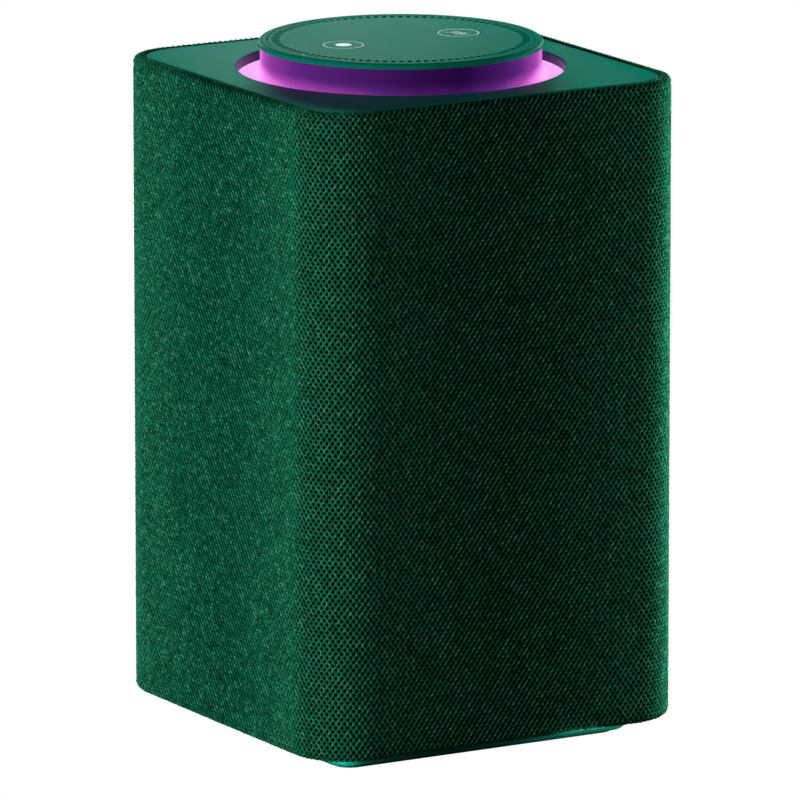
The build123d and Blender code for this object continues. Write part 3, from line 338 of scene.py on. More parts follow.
@dataclass(frozen=True)
class Metal(Finish):
    """Drawn, cast or plated metal, with fine lines along one axis and a scatter of pits."""

    along: tuple[float, float, float] = (1.0, 1.0, 8.0)
    grain: float = 0.25 * MM
    relief: float = 0.01 * MM
    metallic: float = 1.0

    def paint(self, graph: Graph) -> None:
        """Lines stretched by the mapping, with pits and stains over them."""
        at = graph.place()
        turned = graph.node("ShaderNodeMapping", inputs={"Vector": at, "Scale": self.along})
        lines = graph.noise(turned, self.grain * 4, 3.0, 0.7)
        stain = graph.noise(at, 11 * MM, 4.0, 0.6)
        pits = graph.cells(at, self.grain * 3).ease(0.05, 0.25)
        tone = (0.80 + 0.24 * lines + 0.16 * (stain - 0.5)) * (0.85 + 0.15 * pits)
        rough = self.roughness + 0.25 * (lines - 0.5) + 0.12 * (stain - 0.5)
        colour = graph.tint(self.colour, tone)
        self.coat(graph, colour, rough, lines + 0.5 * pits, self.relief, Metallic=self.metallic)


@dataclass(frozen=True)
class Woven(Finish):
    """A fine woven or meshed cloth: two families of threads at right angles, with holes between."""

    pitch: float = 0.4 * MM
    normal_axis: int = 1
    relief: float = 0.06 * MM
    hole: float = 0.25

    def paint(self, graph: Graph) -> None:
        """Thread height is the larger of two folded waves, one along each axis of the cloth."""
        at = graph.place()
        parts = graph.axes(at)
        across, up = (parts[i] for i in range(3) if i != self.normal_axis)
        warp = 1.0 - 4.0 / self.pitch * across.fold(self.pitch / 2)
        weft = 1.0 - 4.0 / self.pitch * up.fold(self.pitch / 2)
        threads = warp.upper(weft).ease(-0.6, 0.7)
        fuzz = graph.noise(at, 0.9 * MM, 3.0, 0.6)
        tone = (self.hole + (1.0 - self.hole) * threads) * (0.82 + 0.36 * fuzz)
        rough = self.roughness + 0.2 * (fuzz - 0.5)
        self.coat(graph, graph.tint(self.colour, tone), rough, threads + 0.2 * fuzz, self.relief)


@dataclass(frozen=True)
class Wound(Finish):
    """Enamelled wire in close turns round an axis."""

    wire: float = 0.28 * MM
    axis: int = 1
    metallic: float = 0.9

    def paint(self, graph: Graph) -> None:
        """Turns are a folded wave along the axis; the enamel varies from turn to turn."""
        at = graph.place()
        along = graph.axes(at)[self.axis]
        turn = 1.0 - 2.0 / self.wire * along.fold(self.wire / 2)
        pick = graph.random(graph.vector((along / self.wire).floored(), 0.0, 0.0))
        streak = graph.noise(at, 2.5 * MM, 3.0)
        tone = (0.45 + 0.55 * turn) * (0.8 + 0.2 * pick + 0.2 * streak)
        rough = self.roughness + 0.2 * (streak - 0.5)
        colour = graph.tint(self.colour, tone)
        self.coat(graph, colour, rough, turn, self.wire * 0.4, Metallic=self.metallic)


@dataclass(frozen=True)
class Fibrous(Finish):
    """Pressed pulp, foam or felt: matted fibres or small open cells."""

    cell: float = 0.7 * MM
    relief: float = 0.12 * MM
    open_cells: float = 0.5

    def paint(self, graph: Graph) -> None:
        """Cells for pores, stretched noise for fibres, mixed by open_cells."""
        at = graph.place()
        pores = graph.cells(at, self.cell).ease(0.0, 0.8)
        flattened = graph.node("ShaderNodeMapping", inputs={"Vector": at, "Scale": (1, 1, 6)})
        fibres = graph.noise(flattened, 2 * MM, 5.0, 0.7)
        patches = graph.noise(at, 14 * MM, 3.0)
        height = self.open_cells * pores + (1.0 - self.open_cells) * fibres
        colour = graph.tint(self.colour, 0.55 + 0.7 * height + 0.3 * (patches - 0.5))
        self.coat(graph, colour, self.roughness + 0.15 * (patches - 0.5), height, self.relief)


@dataclass(frozen=True)
class Board(Finish):
    """A printed circuit board: solder mask over traces, with plated pads on a grid."""

    trace: float = 0.9 * MM
    foil: float = 0.035 * MM
    copper: Colour = rgb(60, 120, 70)
    pad: Colour = rgb(205, 195, 160)

    def paint(self, graph: Graph) -> None:
        """Traces run one way or the other by patch, and pads sit on a coarser grid."""
        at = graph.place()
        x, y, z = graph.axes(at)
        patch = graph.cells(at, 9 * MM).other("Color")
        way = graph.axes(patch)[0].ease(0.49, 0.51)
        along = way * (x + z) + (1.0 - way) * (y - z)
        lines = along.fold(self.trace / 2).ease(0.10 * MM, 0.17 * MM)
        pitch = 4 * self.trace
        spot = (x.fold(pitch / 2) ** 2.0 + (y + z).fold(pitch / 2) ** 2.0) ** 0.5
        pads = spot.ease(0.52 * MM, 0.42 * MM)
        weave = graph.noise(at, 1.1 * MM, 2.0)
        mask = graph.mix(lines, self.copper, self.colour)
        colour = graph.mix(pads, graph.tint(mask, 0.85 + 0.3 * weave), self.pad)
        rough = self.roughness - 0.1 * pads + 0.1 * (weave - 0.5)
        self.coat(graph, colour, rough, (1.0 - lines) + pads, self.foil, Metallic=0.9 * pads)


@dataclass(frozen=True)
class Striped(Finish):
    """Ribbon or paired leads: parallel conductors, one of them in a second colour."""

    second: Colour = rgb(20, 20, 22)
    pitch: float = 1.0 * MM
    axis: int = 0
    split: float = 0.5

    def paint(self, graph: Graph) -> None:
        """Ridges are a folded wave across the ribbon; a wider wave picks the second colour."""
        at = graph.place()
        across = graph.axes(at)[self.axis]
        ridge = 1.0 - 2.0 / self.pitch * across.fold(self.pitch / 2)
        pick = (across / (2 * self.pitch)).fold(0.5).ease(self.split - 0.02, self.split + 0.02)
        dust = graph.noise(at, 3 * MM, 3.0)
        tone = (0.7 + 0.3 * ridge) * (0.85 + 0.3 * dust)
        colour = graph.tint(graph.mix(pick, self.second, self.colour), tone)
        self.coat(graph, colour, self.roughness + 0.1 * (dust - 0.5), ridge, self.pitch * 0.2)


@dataclass(frozen=True)
class Glow(Finish):
    """Frosted plastic lit from beneath by a ring of lamps that are dim over one arc and bright elsewhere."""

    quiet_angle: float = -100.0
    floor_height: float = 218.8 * MM
    rim_height: float = 228.9 * MM
    fade: float = 4 * MM
    relief: float = 0.006 * MM
    specular: float = 0.15
    angles: tuple[float, ...] = (-105, -85, -70, -50, -15, 5, 25, 40, 60, 75)
    levels: tuple[float, ...] = (1.0, 0.58, 0.42, 0.30, 0.08, 0.03, 0.20, 0.46, 0.94, 1.0)
    glow: tuple[tuple[float, Colour], ...] = (
        (0.0, rgb(20, 0, 44)),
        (0.35, rgb(84, 32, 116)),
        (0.7, rgb(165, 66, 172)),
        (1.0, rgb(244, 130, 240)),
        (1.35, rgb(255, 176, 255)),
    )

    def paint(self, graph: Graph) -> None:
        """The lamps' levels lie round the ring on a ramp, by the angle from the quiet direction.

        Light gathers towards the floor of the well, where a dim lamp still shows.
        """
        at = graph.place()
        x, y, z = graph.axes(at)
        quiet = math.radians(self.quiet_angle)
        toward = x * math.cos(quiet) + y * math.sin(quiet)
        beside = y * math.cos(quiet) - x * math.sin(quiet)
        turn = beside.turned(toward) / (2 * math.pi) + 0.5
        pairs = zip(self.angles, self.levels)
        stops = [(angle / 360 + 0.5, (level, level, level, 1.0)) for angle, level in pairs]
        lamps = graph.node("ShaderNodeValToRGB", {"stops": stops}, {0: turn})
        lamp = graph.axes(lamps)[0]
        low = z.ease(self.rim_height - self.fade, self.floor_height)
        frost = graph.noise(at, 5 * MM, 3.0)
        pooled = 0.14 + 0.8 * lamp.lower(0.25)
        level = lamp * (0.92 + 0.30 * low) + pooled * low + 0.04 * (frost - 0.5)
        top = self.glow[-1][0]
        colours = [(position / top, colour) for position, colour in self.glow]
        light = graph.node("ShaderNodeValToRGB", {"stops": colours}, {0: (level / top).clamped()})
        graph.surface(
            Base_Color=self.colour,
            Roughness=(self.roughness + 0.1 * (frost - 0.5)).clamped(),
            Emission_Color=light,
            Emission_Strength=1.0,
            Specular_IOR_Level=self.specular,
            Normal=graph.bump(graph.noise(at, 0.3 * MM, 2.0), self.relief),
        )


@dataclass(frozen=True)
class Lens(Finish):
    """A small lamp: a bright die under a clear dome."""

    strength: float = 2.5

    def paint(self, graph: Graph) -> None:
        """The die is a square patch, one to each lamp, found from cells."""
        at = graph.place()
        core = graph.cells(at, 1.6 * MM).ease(0.6, 0.1)
        graph.surface(
            Base_Color=graph.mix(core, self.colour, rgb(250, 235, 190)),
            Roughness=self.roughness,
            Emission_Color=graph.mix(core, shade(self.colour, 0.3), self.colour),
            Emission_Strength=self.strength,
            Normal=graph.bump(core, 0.05 * MM),
        )


@dataclass(frozen=True)
class Knit(Finish):
    """Warp-knitted melange yarn: crossing threads at whole numbers of u - v and u + v.

    hole is the colour painted between the threads, a painted shade where the holes show dark; pale and deep
    are the colours of the light fibres and of the dark ones.
    half_width and wander are a thread's half width and its wandering, in stitches. fleck_and_glint and
    crown_highlight are how pale the light fibres and the threads' crowns get: the flecks are partly the
    yarn's light fibres and partly painted glints, and the crowns' paleness is a painted highlight.
    sink_and_shade is how far the family behind sinks and how much darker it is painted on each face, a
    painted shade, and corner_fill_and_light how much the holes fill where neither leads, which paints the
    corners lighter, a painted light.
    """

    # painted shade: near black between the threads, where the holes show dark
    hole: Colour = rgb(0, 16, 10)
    pale: Colour = rgb(110, 178, 150)
    deep: Colour = rgb(0, 46, 29)
    half_width: float = 0.20
    wander: float = 0.24
    # pale flecks: partly the yarn's light fibres, partly painted glints
    fleck_and_glint: float = 0.30
    # painted highlight: how much paler the threads' crowns are painted
    crown_highlight: float = 0.07
    # painted shade by face: how much lower and darker the family behind is
    sink_and_shade: float = 0.65
    # painted light: how much lighter the corners are painted
    corner_fill_and_light: float = 0.40
    sheen: float = 0.55
    twist: float = 0.10
    relief: float = 0.25 * MM
    specular: float = 0.1
    stitches: int = 66

    def paint(self, graph: Graph) -> None:
        """Thread height falls off as the square of the distance to the nearest thread line.

        The share is the sine of half a turn for each panel: 1 in the middle of the front and back, where
        the falling threads sink; -1 in the middle of the sides, where the rising ones do; 0 at corners. The
        sunk family is painted darker there, a painted shade for how the light falls on each face, and the
        corners are painted lighter, a painted light.
        """
        stitch = graph.node("ShaderNodeUVMap", {"uv_map": "stitch"})
        u, v, _ = graph.axes(stitch)
        at = graph.place()
        wander = self.wander * (graph.noise(at, 3.2 * MM, 2.0) - 0.5)
        rise, fall = u - v + wander, u + v - wander
        over = 1.0 - rise.fold(0.5) ** 2.0 / self.half_width**2
        under = 1.0 - fall.fold(0.5) ** 2.0 / self.half_width**2
        share = (math.pi * (u / self.stitches - 2.0)).sine()
        # painted shade: on each face the family behind is painted darker, for how the light falls there
        over = over - self.sink_and_shade * (-1.0 * share).clamped()
        under = under - self.sink_and_shade * share.clamped()
        # painted light: the holes narrow at the corners, so the corners are painted lighter
        rope = over.upper(under) + self.corner_fill_and_light * (1.0 - share * share)
        thread = rope.ease(-1.1, 0.3)
        first, second = self.yarn(graph, rise, fall, 3.7), self.yarn(graph, fall, rise, 9.1)
        top = (over - under).ease(-0.25, 0.25)
        spun = top * first + (1.0 - top) * second
        cloud = graph.noise(at, 15 * MM, 4.0, 0.65)
        fuzz = graph.noise(at, 0.7 * MM, 2.0, 0.6)
        level = 0.55 + 2.4 * (spun - 0.5) + 0.4 * (cloud - 0.5) + 0.9 * (fuzz - 0.5)
        body = graph.mix(level.clamped(), self.deep, self.colour)
        # paler where light fibres show, which are partly painted glints, plus a painted highlight on the
        # thread crowns
        fleck_and_glint = self.fleck_and_glint * spun.ease(0.52, 0.70) + self.crown_highlight * rope.ease(0.45, 1.0)
        melange = graph.mix(fleck_and_glint, body, self.pale)
        up, down = (u * 3.0 + v * 11.0) * math.tau, (u * 3.0 - v * 11.0) * math.tau
        crown = rope.clamped()
        strands = self.twist * (up.sine() * down.sine())
        # painted shade: the colour darkens away from the thread crowns and is lightest on them
        lit = graph.tint(melange, 0.16 + 0.84 * crown + strands)
        # painted shade: where no thread lies, the near-black hole colour
        colour = graph.mix(thread, self.hole, lit)
        rough = 0.95 - self.sheen * spun.ease(0.45, 0.65) * thread
        self.coat(graph, colour, rough, crown + strands, self.relief, Specular_IOR_Level=self.specular)

    @staticmethod
    def yarn(graph: Graph, across: Sock, along: Sock, seed: float) -> Sock:
        """How light a thread is: noise that is stretched along it, and differs from thread to thread."""
        number = (across + 0.5).floored()
        return graph.noise(graph.vector(number * 5.37 + seed, along * 0.9, number * 0.73), 1.0, 2.0, 0.7)


@dataclass(frozen=True)
class Printed(Finish):
    """Pad-printed ink: opaque, with a fine stipple and slightly uneven cover."""

    relief: float = 0.004 * MM

    def paint(self, graph: Graph) -> None:
        """Stipple in the relief, thin cover in the colour."""
        at = graph.place()
        stipple = graph.noise(at, 0.15 * MM, 2.0)
        rough = self.roughness + 0.2 * (stipple - 0.5)
        self.coat(graph, graph.tint(self.colour, 0.88 + 0.24 * stipple), rough, stipple, self.relief)


GREEN = rgb(0, 112, 91)
FINISHES: dict[str, Finish] = {
    "knit": Knit("melange_knit", rgb(0, 132, 95), 0.85),
    "green_plastic": WellPlastic("satin_green", GREEN, 0.36, specular=0.15),
    "rim_plastic": Moulded("satin_green_rim", GREEN, 0.36, specular=0.15),
    "key_plastic": Moulded("satin_green_key", shade(GREEN, 1.03), 0.36, specular=0.15),
    "foot_rubber": Moulded("foot_rubber", rgb(16, 18, 18), 0.75, 0.5 * MM, 0.03 * MM, 0.12),
    "black_plastic": Moulded("black_abs", rgb(22, 24, 25), 0.55, 0.5 * MM, 0.02 * MM, 0.15),
    "diffuser": Glow("lit_diffuser", rgb(22, 6, 38), 0.45),
    "led_lens": Lens("lamp_lens", rgb(225, 120, 255), 0.15),
    "circuit_board": Board("solder_mask", rgb(12, 70, 40), 0.35),
    "chip_black": Moulded("chip_epoxy", rgb(20, 20, 22), 0.6, 0.2 * MM, 0.01 * MM, 0.2),
    "can_steel": Metal("tinned_steel", rgb(190, 192, 190), 0.32),
    "heat_aluminium": Metal("anodised_fins", rgb(150, 154, 158), 0.45, (8.0, 1.0, 1.0)),
    "thermal_silicone": Moulded("thermal_silicone", rgb(120, 150, 175), 0.7, 0.4 * MM, 0.04 * MM, 0.15),
    "ferrite": Moulded("ferrite", rgb(45, 44, 46), 0.62, 0.3 * MM, 0.03 * MM, 0.25),
    "yoke_steel": Metal("zinc_yoke", rgb(165, 160, 150), 0.4, (1.0, 6.0, 1.0)),
    "basket_plastic": Moulded("glass_filled_basket", rgb(30, 31, 33), 0.6, 0.6 * MM, 0.04 * MM, 0.2),
    "cone_paper": Fibrous("pulp_cone", rgb(40, 41, 44), 0.8, 0.9 * MM, 0.10 * MM, 0.15),
    "surround_rubber": Moulded("butyl_surround", rgb(18, 18, 19), 0.5, 0.6 * MM, 0.02 * MM, 0.12),
    "coil_copper": Wound("enamelled_wire", rgb(200, 105, 60), 0.3),
    "spider_cloth": Woven("spider_cloth", rgb(205, 165, 80), 0.8, 0.7 * MM),
    "dome_silk": Woven("coated_silk", rgb(50, 50, 54), 0.55, 0.35 * MM),
    "radiator_alloy": Metal("spun_radiator", rgb(120, 122, 126), 0.38, (1.0, 1.0, 6.0)),
    "gasket_foam": Fibrous("gasket_foam", rgb(48, 48, 50), 0.9, 0.5 * MM, 0.15 * MM, 0.85),
    "mesh_black": Woven("acoustic_mesh", rgb(34, 36, 38), 0.6, 0.3 * MM, 2, 0.04 * MM, 0.1),
    "acetal": Moulded("acetal", rgb(225, 222, 212), 0.35, 0.4 * MM, 0.008 * MM, 0.05),
    "screw_steel": Metal("blackened_screw", rgb(70, 70, 74), 0.35, (1.0, 1.0, 1.0)),
    "wire_red_black": Striped("speaker_leads", rgb(170, 20, 18), 0.4),
    "ribbon_white": Striped("flat_ribbon", rgb(225, 225, 220), 0.35, rgb(40, 90, 170), 0.5 * MM, 0, 0.04),
}
PRINT = Printed("pad_print", rgb(240, 252, 247), 0.5)
PRINT_FAINT = Printed("pad_print_faint", rgb(180, 214, 204), 0.5)


# ---------------------------------------------------------------- meshes


def mesh_piece(
    name: str,
    points: Array,
    faces: list[Any],
    material: bpy.types.Material,
    smooth: bool = True,
) -> bpy.types.Object:
    """A piece whose place is in its mesh.

    Args:
        name: the piece's name.
        points: one row of x, y, z for each vertex, in metres.
        faces: for each face, its vertex numbers, anticlockwise from outside.
        material: what it is made of.
        smooth: whether its faces are shaded smooth.
    Returns:
        The object.
    """
    mesh = bpy.data.meshes.new(name)
    mesh.from_pydata(points.reshape(-1, 3), [], [list(map(int, face)) for face in faces])
    mesh.materials.append(material)
    mesh.polygons.foreach_set("use_smooth", np.full(len(mesh.polygons), smooth))
    mesh.update()
    made = bpy.data.objects.new(name, mesh)
    bpy.context.scene.collection.objects.link(made)
    return made


def inlay(path: Array, width: float, low: float, high: float, closed: bool) -> tuple[Array, Array]:
    """A flat strip of ink: a rectangle carried along a path in the plane.

    The path's tangent is its central difference; the strip reaches half the width either side of it.

    Args:
        path: rows of x, y.
        width: the strip's width.
        low, high: the heights of its underside and its face.
        closed: whether the path joins up.
    Returns:
        Its vertices and its faces.
    """
    ahead, behind = np.roll(path, -1, 0), np.roll(path, 1, 0)
    if not closed:
        ahead[-1], behind[0] = path[-1], path[0]
    along = ahead - behind
    along /= np.linalg.norm(along, axis=1, keepdims=True)
    side = np.stack([-along[:, 1], along[:, 0]], 1) * width / 2
    corners = [(path - side, low), (path - side, high), (path + side, high), (path + side, low)]
    points = np.stack([at_height(xy, z) for xy, z in corners], 1)
    count = len(path)
    i = np.arange(count if closed else count - 1)[:, None]
    j = np.arange(4)[None, :]
    k = (j + 1) % 4
    step = (i + 1) % count
    quads = np.stack([i * 4 + j, step * 4 + j, step * 4 + k, i * 4 + k], -1).reshape(-1, 4)
    if not closed:
        last = (count - 1) * 4
        quads = np.vstack([quads, [[0, 1, 2, 3]], [[last + 3, last + 2, last + 1, last]]])
    return points.reshape(-1, 3), quads


def prism(first: Array, second: Array) -> tuple[Array, list[Any]]:
    """Two rings of points joined by a wall, with one face on each.

    Args:
        first: the ring at one end, anticlockwise when seen from the second's side.
        second: the same points, moved to the other end.
    Returns:
        Its vertices and its faces.
    """
    count = len(first)
    i = np.arange(count)
    j = (i + 1) % count
    walls = np.column_stack([i, j, j + count, i + count])
    return np.vstack([first, second]), [*walls, i[::-1], i + count]


def at_height(outline: Array, height: float) -> Array:
    """An outline's x and y, with that z in every row."""
    return np.column_stack([outline, np.full(len(outline), height)])


def join(parts: list[tuple[Array, Array]]) -> tuple[Array, list[Any]]:
    """Several meshes as one. Args: parts: vertices and faces of each. Returns: the same, joined."""
    points, faces, start = [], [], 0
    for part_points, part_faces in parts:
        points.append(part_points)
        faces.extend(part_faces + start)
        start += len(part_points)
    return np.vstack(points), faces


class Side(Enum):
    """A face of the column, in the order of the stitches; the value is its quarter turns from the front."""

    BACK = 2
    LEFT = 3
    FRONT = 0
    RIGHT = 1

    def heading(self) -> tuple[int, int]:
        """The cosine and sine of its turn from the front."""
        return [(1, 0), (0, 1), (-1, 0), (0, -1)][self.value]


# ---------------------------------------------------------------- the knitted sleeve


@dataclass
class KnitSleeve:
    """The knitted skin: four panels that meet at the middles of the corners, and roll over both ends.

    A course is one repeat of the pattern up the cloth, and steps is how many points a stitch has.
    crossing, thread and hole are heights over the sleeve's outer line, on_line how near to a thread's
    middle a point lies on it, and lean how much higher the leading threads stand. The groove is the
    line under the top roll, and calm is how much flatter the lips lie.
    """

    corner: float = 20 * MM
    cloth: float = 1.2 * MM
    foot_round: float = 2.5 * MM
    top_round: float = 2.1 * MM
    lip_round: float = 1.9 * MM
    turned_in: float = 4.3 * MM
    lip_depth: float = 3.0 * MM
    stitches: int = 66
    course: float = 2.75 * MM
    steps: int = 3
    crossing: float = 0.06 * MM
    thread: float = -0.06 * MM
    lean: float = 0.14 * MM
    hole: float = -0.80 * MM
    on_line: float = 0.1
    unevenness: float = 0.05 * MM
    groove_drop: float = 2.9 * MM
    groove_width: float = 0.55 * MM
    groove_depth: float = 0.30 * MM
    calm: float = 0.45
    calm_from: float = 3.2 * MM
    calm_over: float = 0.8 * MM
    seed: int = 7

    def __post_init__(self) -> None:
        """Takes the sleeve's outer sizes from the CAD node."""
        low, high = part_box("knit_sleeve")
        self.half = high.x
        self.bottom = low.z
        self.top = high.z
        self.flat_half = self.half - self.corner
        self.side_length = 2 * self.flat_half + self.corner * math.pi / 2

    def profile(self) -> tuple[Array, Array]:
        """The upright section's outer line, from the underside over the foot and the top to the lip.

        Runs and quarter circles, sampled finely, then measured along their length.

        Returns:
            Rows of (inset from the outer plane, height), and the length along the line to each.
        """
        quarter = np.linspace(0, math.pi / 2, 60)
        foot, out, lip = self.foot_round, self.top_round, self.lip_round
        runs = [
            np.array([[self.turned_in, self.bottom], [foot, self.bottom]]),
            np.column_stack([foot - foot * np.sin(quarter), self.bottom + foot - foot * np.cos(quarter)]),
            np.column_stack([out - out * np.cos(quarter), self.top - out + out * np.sin(quarter)]),
            np.column_stack(
                [self.turned_in - lip + lip * np.sin(quarter), self.top - lip + lip * np.cos(quarter)]
            ),
            np.array([[self.turned_in, self.top - self.lip_depth]]),
        ]
        line, doubled = np.vstack(runs), 1e-7
        keep = np.r_[True, np.linalg.norm(np.diff(line, axis=0), axis=1) > doubled]
        line = line[keep]
        return line, np.r_[0, np.cumsum(np.linalg.norm(np.diff(line, axis=0), axis=1))]

    def around(self, along: Array, side: Side) -> tuple[Array, Array]:
        """The rounded square that the sleeve follows: a straight run with half a quarter turn at each end.

        Args:
            along: distances from the middle of the side.
            side: which side.
        Returns:
            Rows of x, y, and the outward directions there.
        """
        bend = np.clip((np.abs(along) - self.flat_half) / self.corner, 0, None)
        sign = np.sign(along)
        straight = np.clip(along, -self.flat_half, self.flat_half)
        out = np.column_stack([sign * np.sin(bend), -np.cos(bend)])
        place = np.column_stack([straight, np.full(len(along), -self.flat_half)]) + self.corner * out
        c, s = side.heading()
        turn = np.array([[c, s], [-s, c]])
        return place @ turn, out @ turn

    def section(self) -> tuple[Array, Array, Array]:
        """The profile at every row of the lattice.

        Returns:
            Rows of (inset, height), their outward directions, and the row's v in courses.
        """
        line, length = self.profile()
        pitch = self.course / (2 * self.steps)
        count = int(round(length[-1] / pitch / 2)) * 2
        at = np.linspace(0, length[-1], count + 1)
        nudge = 0.1 * MM
        rows, ahead, behind = (
            np.column_stack([np.interp(where, length, line[:, i]) for i in (0, 1)])
            for where in (at, at + nudge, at - nudge)
        )
        near = ahead - behind
        near /= np.linalg.norm(near, axis=1, keepdims=True)
        return rows, np.column_stack([-near[:, 1], near[:, 0]]), np.arange(count + 1) / (2 * self.steps)

    def first_stitch(self, side: Side) -> int:
        """The stitch number at a panel's left edge."""
        return list(Side).index(side) * self.stitches

    def relief(self, u: Array, v: float, row: int, rows: Array, noise: Array) -> Array:
        """How far the cloth stands out at points of one row.

        Crossings, threads and holes take their heights by where u + v and u - v are whole. The lead is
        the cosine of half a turn for each panel, 1 in the middle of the front and back and -1 in the
        middle of the sides: it lifts the rising threads and lowers the falling ones. The groove is a bell
        curve in height, and the noise and heights shrink in a ramp over the lips.

        Args:
            u: the points' stitch numbers, which may pass the end of the panel.
            v: the row's course number.
            row: the row's index.
            rows: the section's (inset, height) rows.
            noise: a random value for each half stitch of every row.
        Returns:
            The heights.
        """
        rise, fall = np.abs((u - v + 0.5) % 1 - 0.5), np.abs((u + v + 0.5) % 1 - 0.5)
        on_rise, on_fall = rise < self.on_line, fall < self.on_line
        lean = self.lean * np.cos(math.pi * (u / self.stitches - 2.5))
        height = np.select(
            [on_rise & on_fall, on_rise, on_fall],
            [self.crossing, self.thread + lean, self.thread - lean],
            self.hole,
        )
        inset, level = rows[row]
        on_wall = inset < 0.5 * MM
        off_groove = (level - (self.top - self.groove_drop)) / self.groove_width
        groove = math.exp(-(off_groove**2)) if on_wall else 0
        calm = 1 - self.calm * min(1, max(0, inset - self.calm_from) / self.calm_over)
        column = np.floor(u * self.steps + 0.01).astype(int) % noise.shape[1]
        uneven = height + self.unevenness * noise[row % noise.shape[0], column]
        return uneven * calm - self.groove_depth * groove

    def row_points(
        self, u: Array, row: int, side: Side, section: tuple[Array, Array, Array], noise: Array
    ) -> Array:
        """The lattice's points of one row: the rounded square, moved out and up by the profile and relief.

        Args:
            u: stitch numbers, counted from the panel's left edge.
            row: the row's index.
            side: which panel.
            section: what section() gives.
            noise: a random value for each half stitch of every row.
        Returns:
            Rows of x, y, z.
        """
        rows, outward, courses = section
        height = self.relief(u + self.first_stitch(side), courses[row], row, rows, noise)
        along = u / self.stitches * self.side_length - self.side_length / 2
        flat, out = self.around(along, side)
        reach = -rows[row, 0] - height * outward[row, 0]
        lift = rows[row, 1] + height * outward[row, 1]
        return np.column_stack([flat + out * reach[:, None], lift])

    def lattice(self, side: Side) -> tuple[Array, Array, Array, list[Array]]:
        """One panel's outer surface: rows a quarter course apart, every other one shifted half a point.

        An odd row gets an end point on each edge, halfway between its own point and the next panel's.

        Args:
            side: which panel.
        Returns:
            Vertices, their stitch coordinates, triangles, and each row's vertex numbers.
        """
        section = self.section()
        size = len(section[0]), len(Side) * self.steps * self.stitches
        noise = np.random.default_rng(self.seed).normal(size=size)
        offset = self.first_stitch(side)
        even = np.arange(self.steps * self.stitches + 1) / self.steps
        odd = np.arange(-1, self.steps * self.stitches + 1) / self.steps + 0.5 / self.steps
        points, stitch, numbers, start = [], [], [], 0
        for row, v in enumerate(section[2]):
            if row % 2 == 0:
                u, place = even, self.row_points(even, row, side, section, noise)
            else:
                whole = self.row_points(odd, row, side, section, noise)
                place = np.vstack([(whole[0] + whole[1]) / 2, whole[1:-1], (whole[-2] + whole[-1]) / 2])
                u = np.r_[0, odd[1:-1], self.stitches]
            points.append(place)
            stitch.append(np.column_stack([u + offset, np.full(len(u), v)]))
            numbers.append(np.arange(start, start + len(u)))
            start += len(u)
        faces = [self.strip(numbers[r], numbers[r + 1]) for r in range(len(numbers) - 1)]
        return np.vstack(points), np.vstack(stitch), np.vstack(faces), numbers

    @staticmethod
    def strip(below: Array, above: Array) -> Array:
        """The triangles between two rows, one of which has a point more. Returns: rows of three."""
        wide_above = len(above) > len(below)
        few, many = (below, above) if wide_above else (above, below)
        one = np.column_stack([few[:-1], few[1:], many[1:-1]])
        two = np.column_stack([few, many[1:], many[:-1]])
        faces = np.vstack([one, two])
        return faces if wide_above else faces[:, ::-1]

    def lining(self, side: Side) -> tuple[Array, int]:
        """The panel's inner surface: the section's inner line at each even point. Returns: points, rows."""
        cloth, top, bottom = self.cloth, self.top, self.bottom
        lip_cloth, foot_cut, top_cut = 1.1 * MM, 0.4 * MM, 0.3 * MM
        turn = self.turned_in - lip_cloth
        line = [
            (self.turned_in, bottom + cloth),
            (self.foot_round, bottom + cloth),
            (cloth + foot_cut, bottom + cloth + foot_cut),
            (cloth, bottom + self.foot_round),
            (cloth, top - self.top_round),
            (cloth + top_cut, top - cloth - top_cut),
            (self.top_round, top - cloth),
            (turn, top - cloth),
            (turn, top - self.lip_depth),
        ]
        along = np.linspace(-self.side_length / 2, self.side_length / 2, self.steps * self.stitches + 1)
        flat, out = self.around(along, side)
        points = [at_height(flat - out * inset, height) for inset, height in line]
        return np.vstack(points), len(line)

    def panel(self, side: Side, material: bpy.types.Material) -> bpy.types.Object:
        """One closed panel: the lattice outside, a plain lining inside, and walls round its edge.

        Args:
            side: which panel.
            material: the knit.
        Returns:
            The object.
        """
        points, stitch, triangles, numbers = self.lattice(side)
        inner, rows = self.lining(side)
        wide = self.steps * self.stitches + 1
        grid = np.arange(rows * wide).reshape(rows, wide) + len(points)
        back = np.stack([grid[:-1, :-1], grid[1:, :-1], grid[1:, 1:], grid[:-1, 1:]], -1).reshape(-1, 4)
        low, high = numbers[0], numbers[-1]
        foot = np.column_stack([low[1:], low[:-1], grid[0, :-1], grid[0, 1:]])
        head = np.column_stack([high[:-1], high[1:], grid[-1, 1:], grid[-1, :-1]])
        left = [row[0] for row in numbers[::-1]] + list(grid[:, 0])
        right = [row[-1] for row in numbers] + list(grid[::-1, -1])
        faces = [*triangles, *back, *foot, *head, left, right]
        normals = self.outer_normals(points, triangles, numbers)
        name = f"knit_{side.name.lower()}"
        made = mesh_piece(name, np.vstack([points, inner]), faces, material)
        self.add_stitch_map(made, np.vstack([stitch, np.tile(stitch[low], (rows, 1))]))
        stored = np.vstack([normals, np.zeros_like(inner)]).astype(np.float32)
        store = made.data.attributes.new("outward", "FLOAT_VECTOR", "POINT")
        store.data.foreach_set("vector", stored.ravel())
        return made

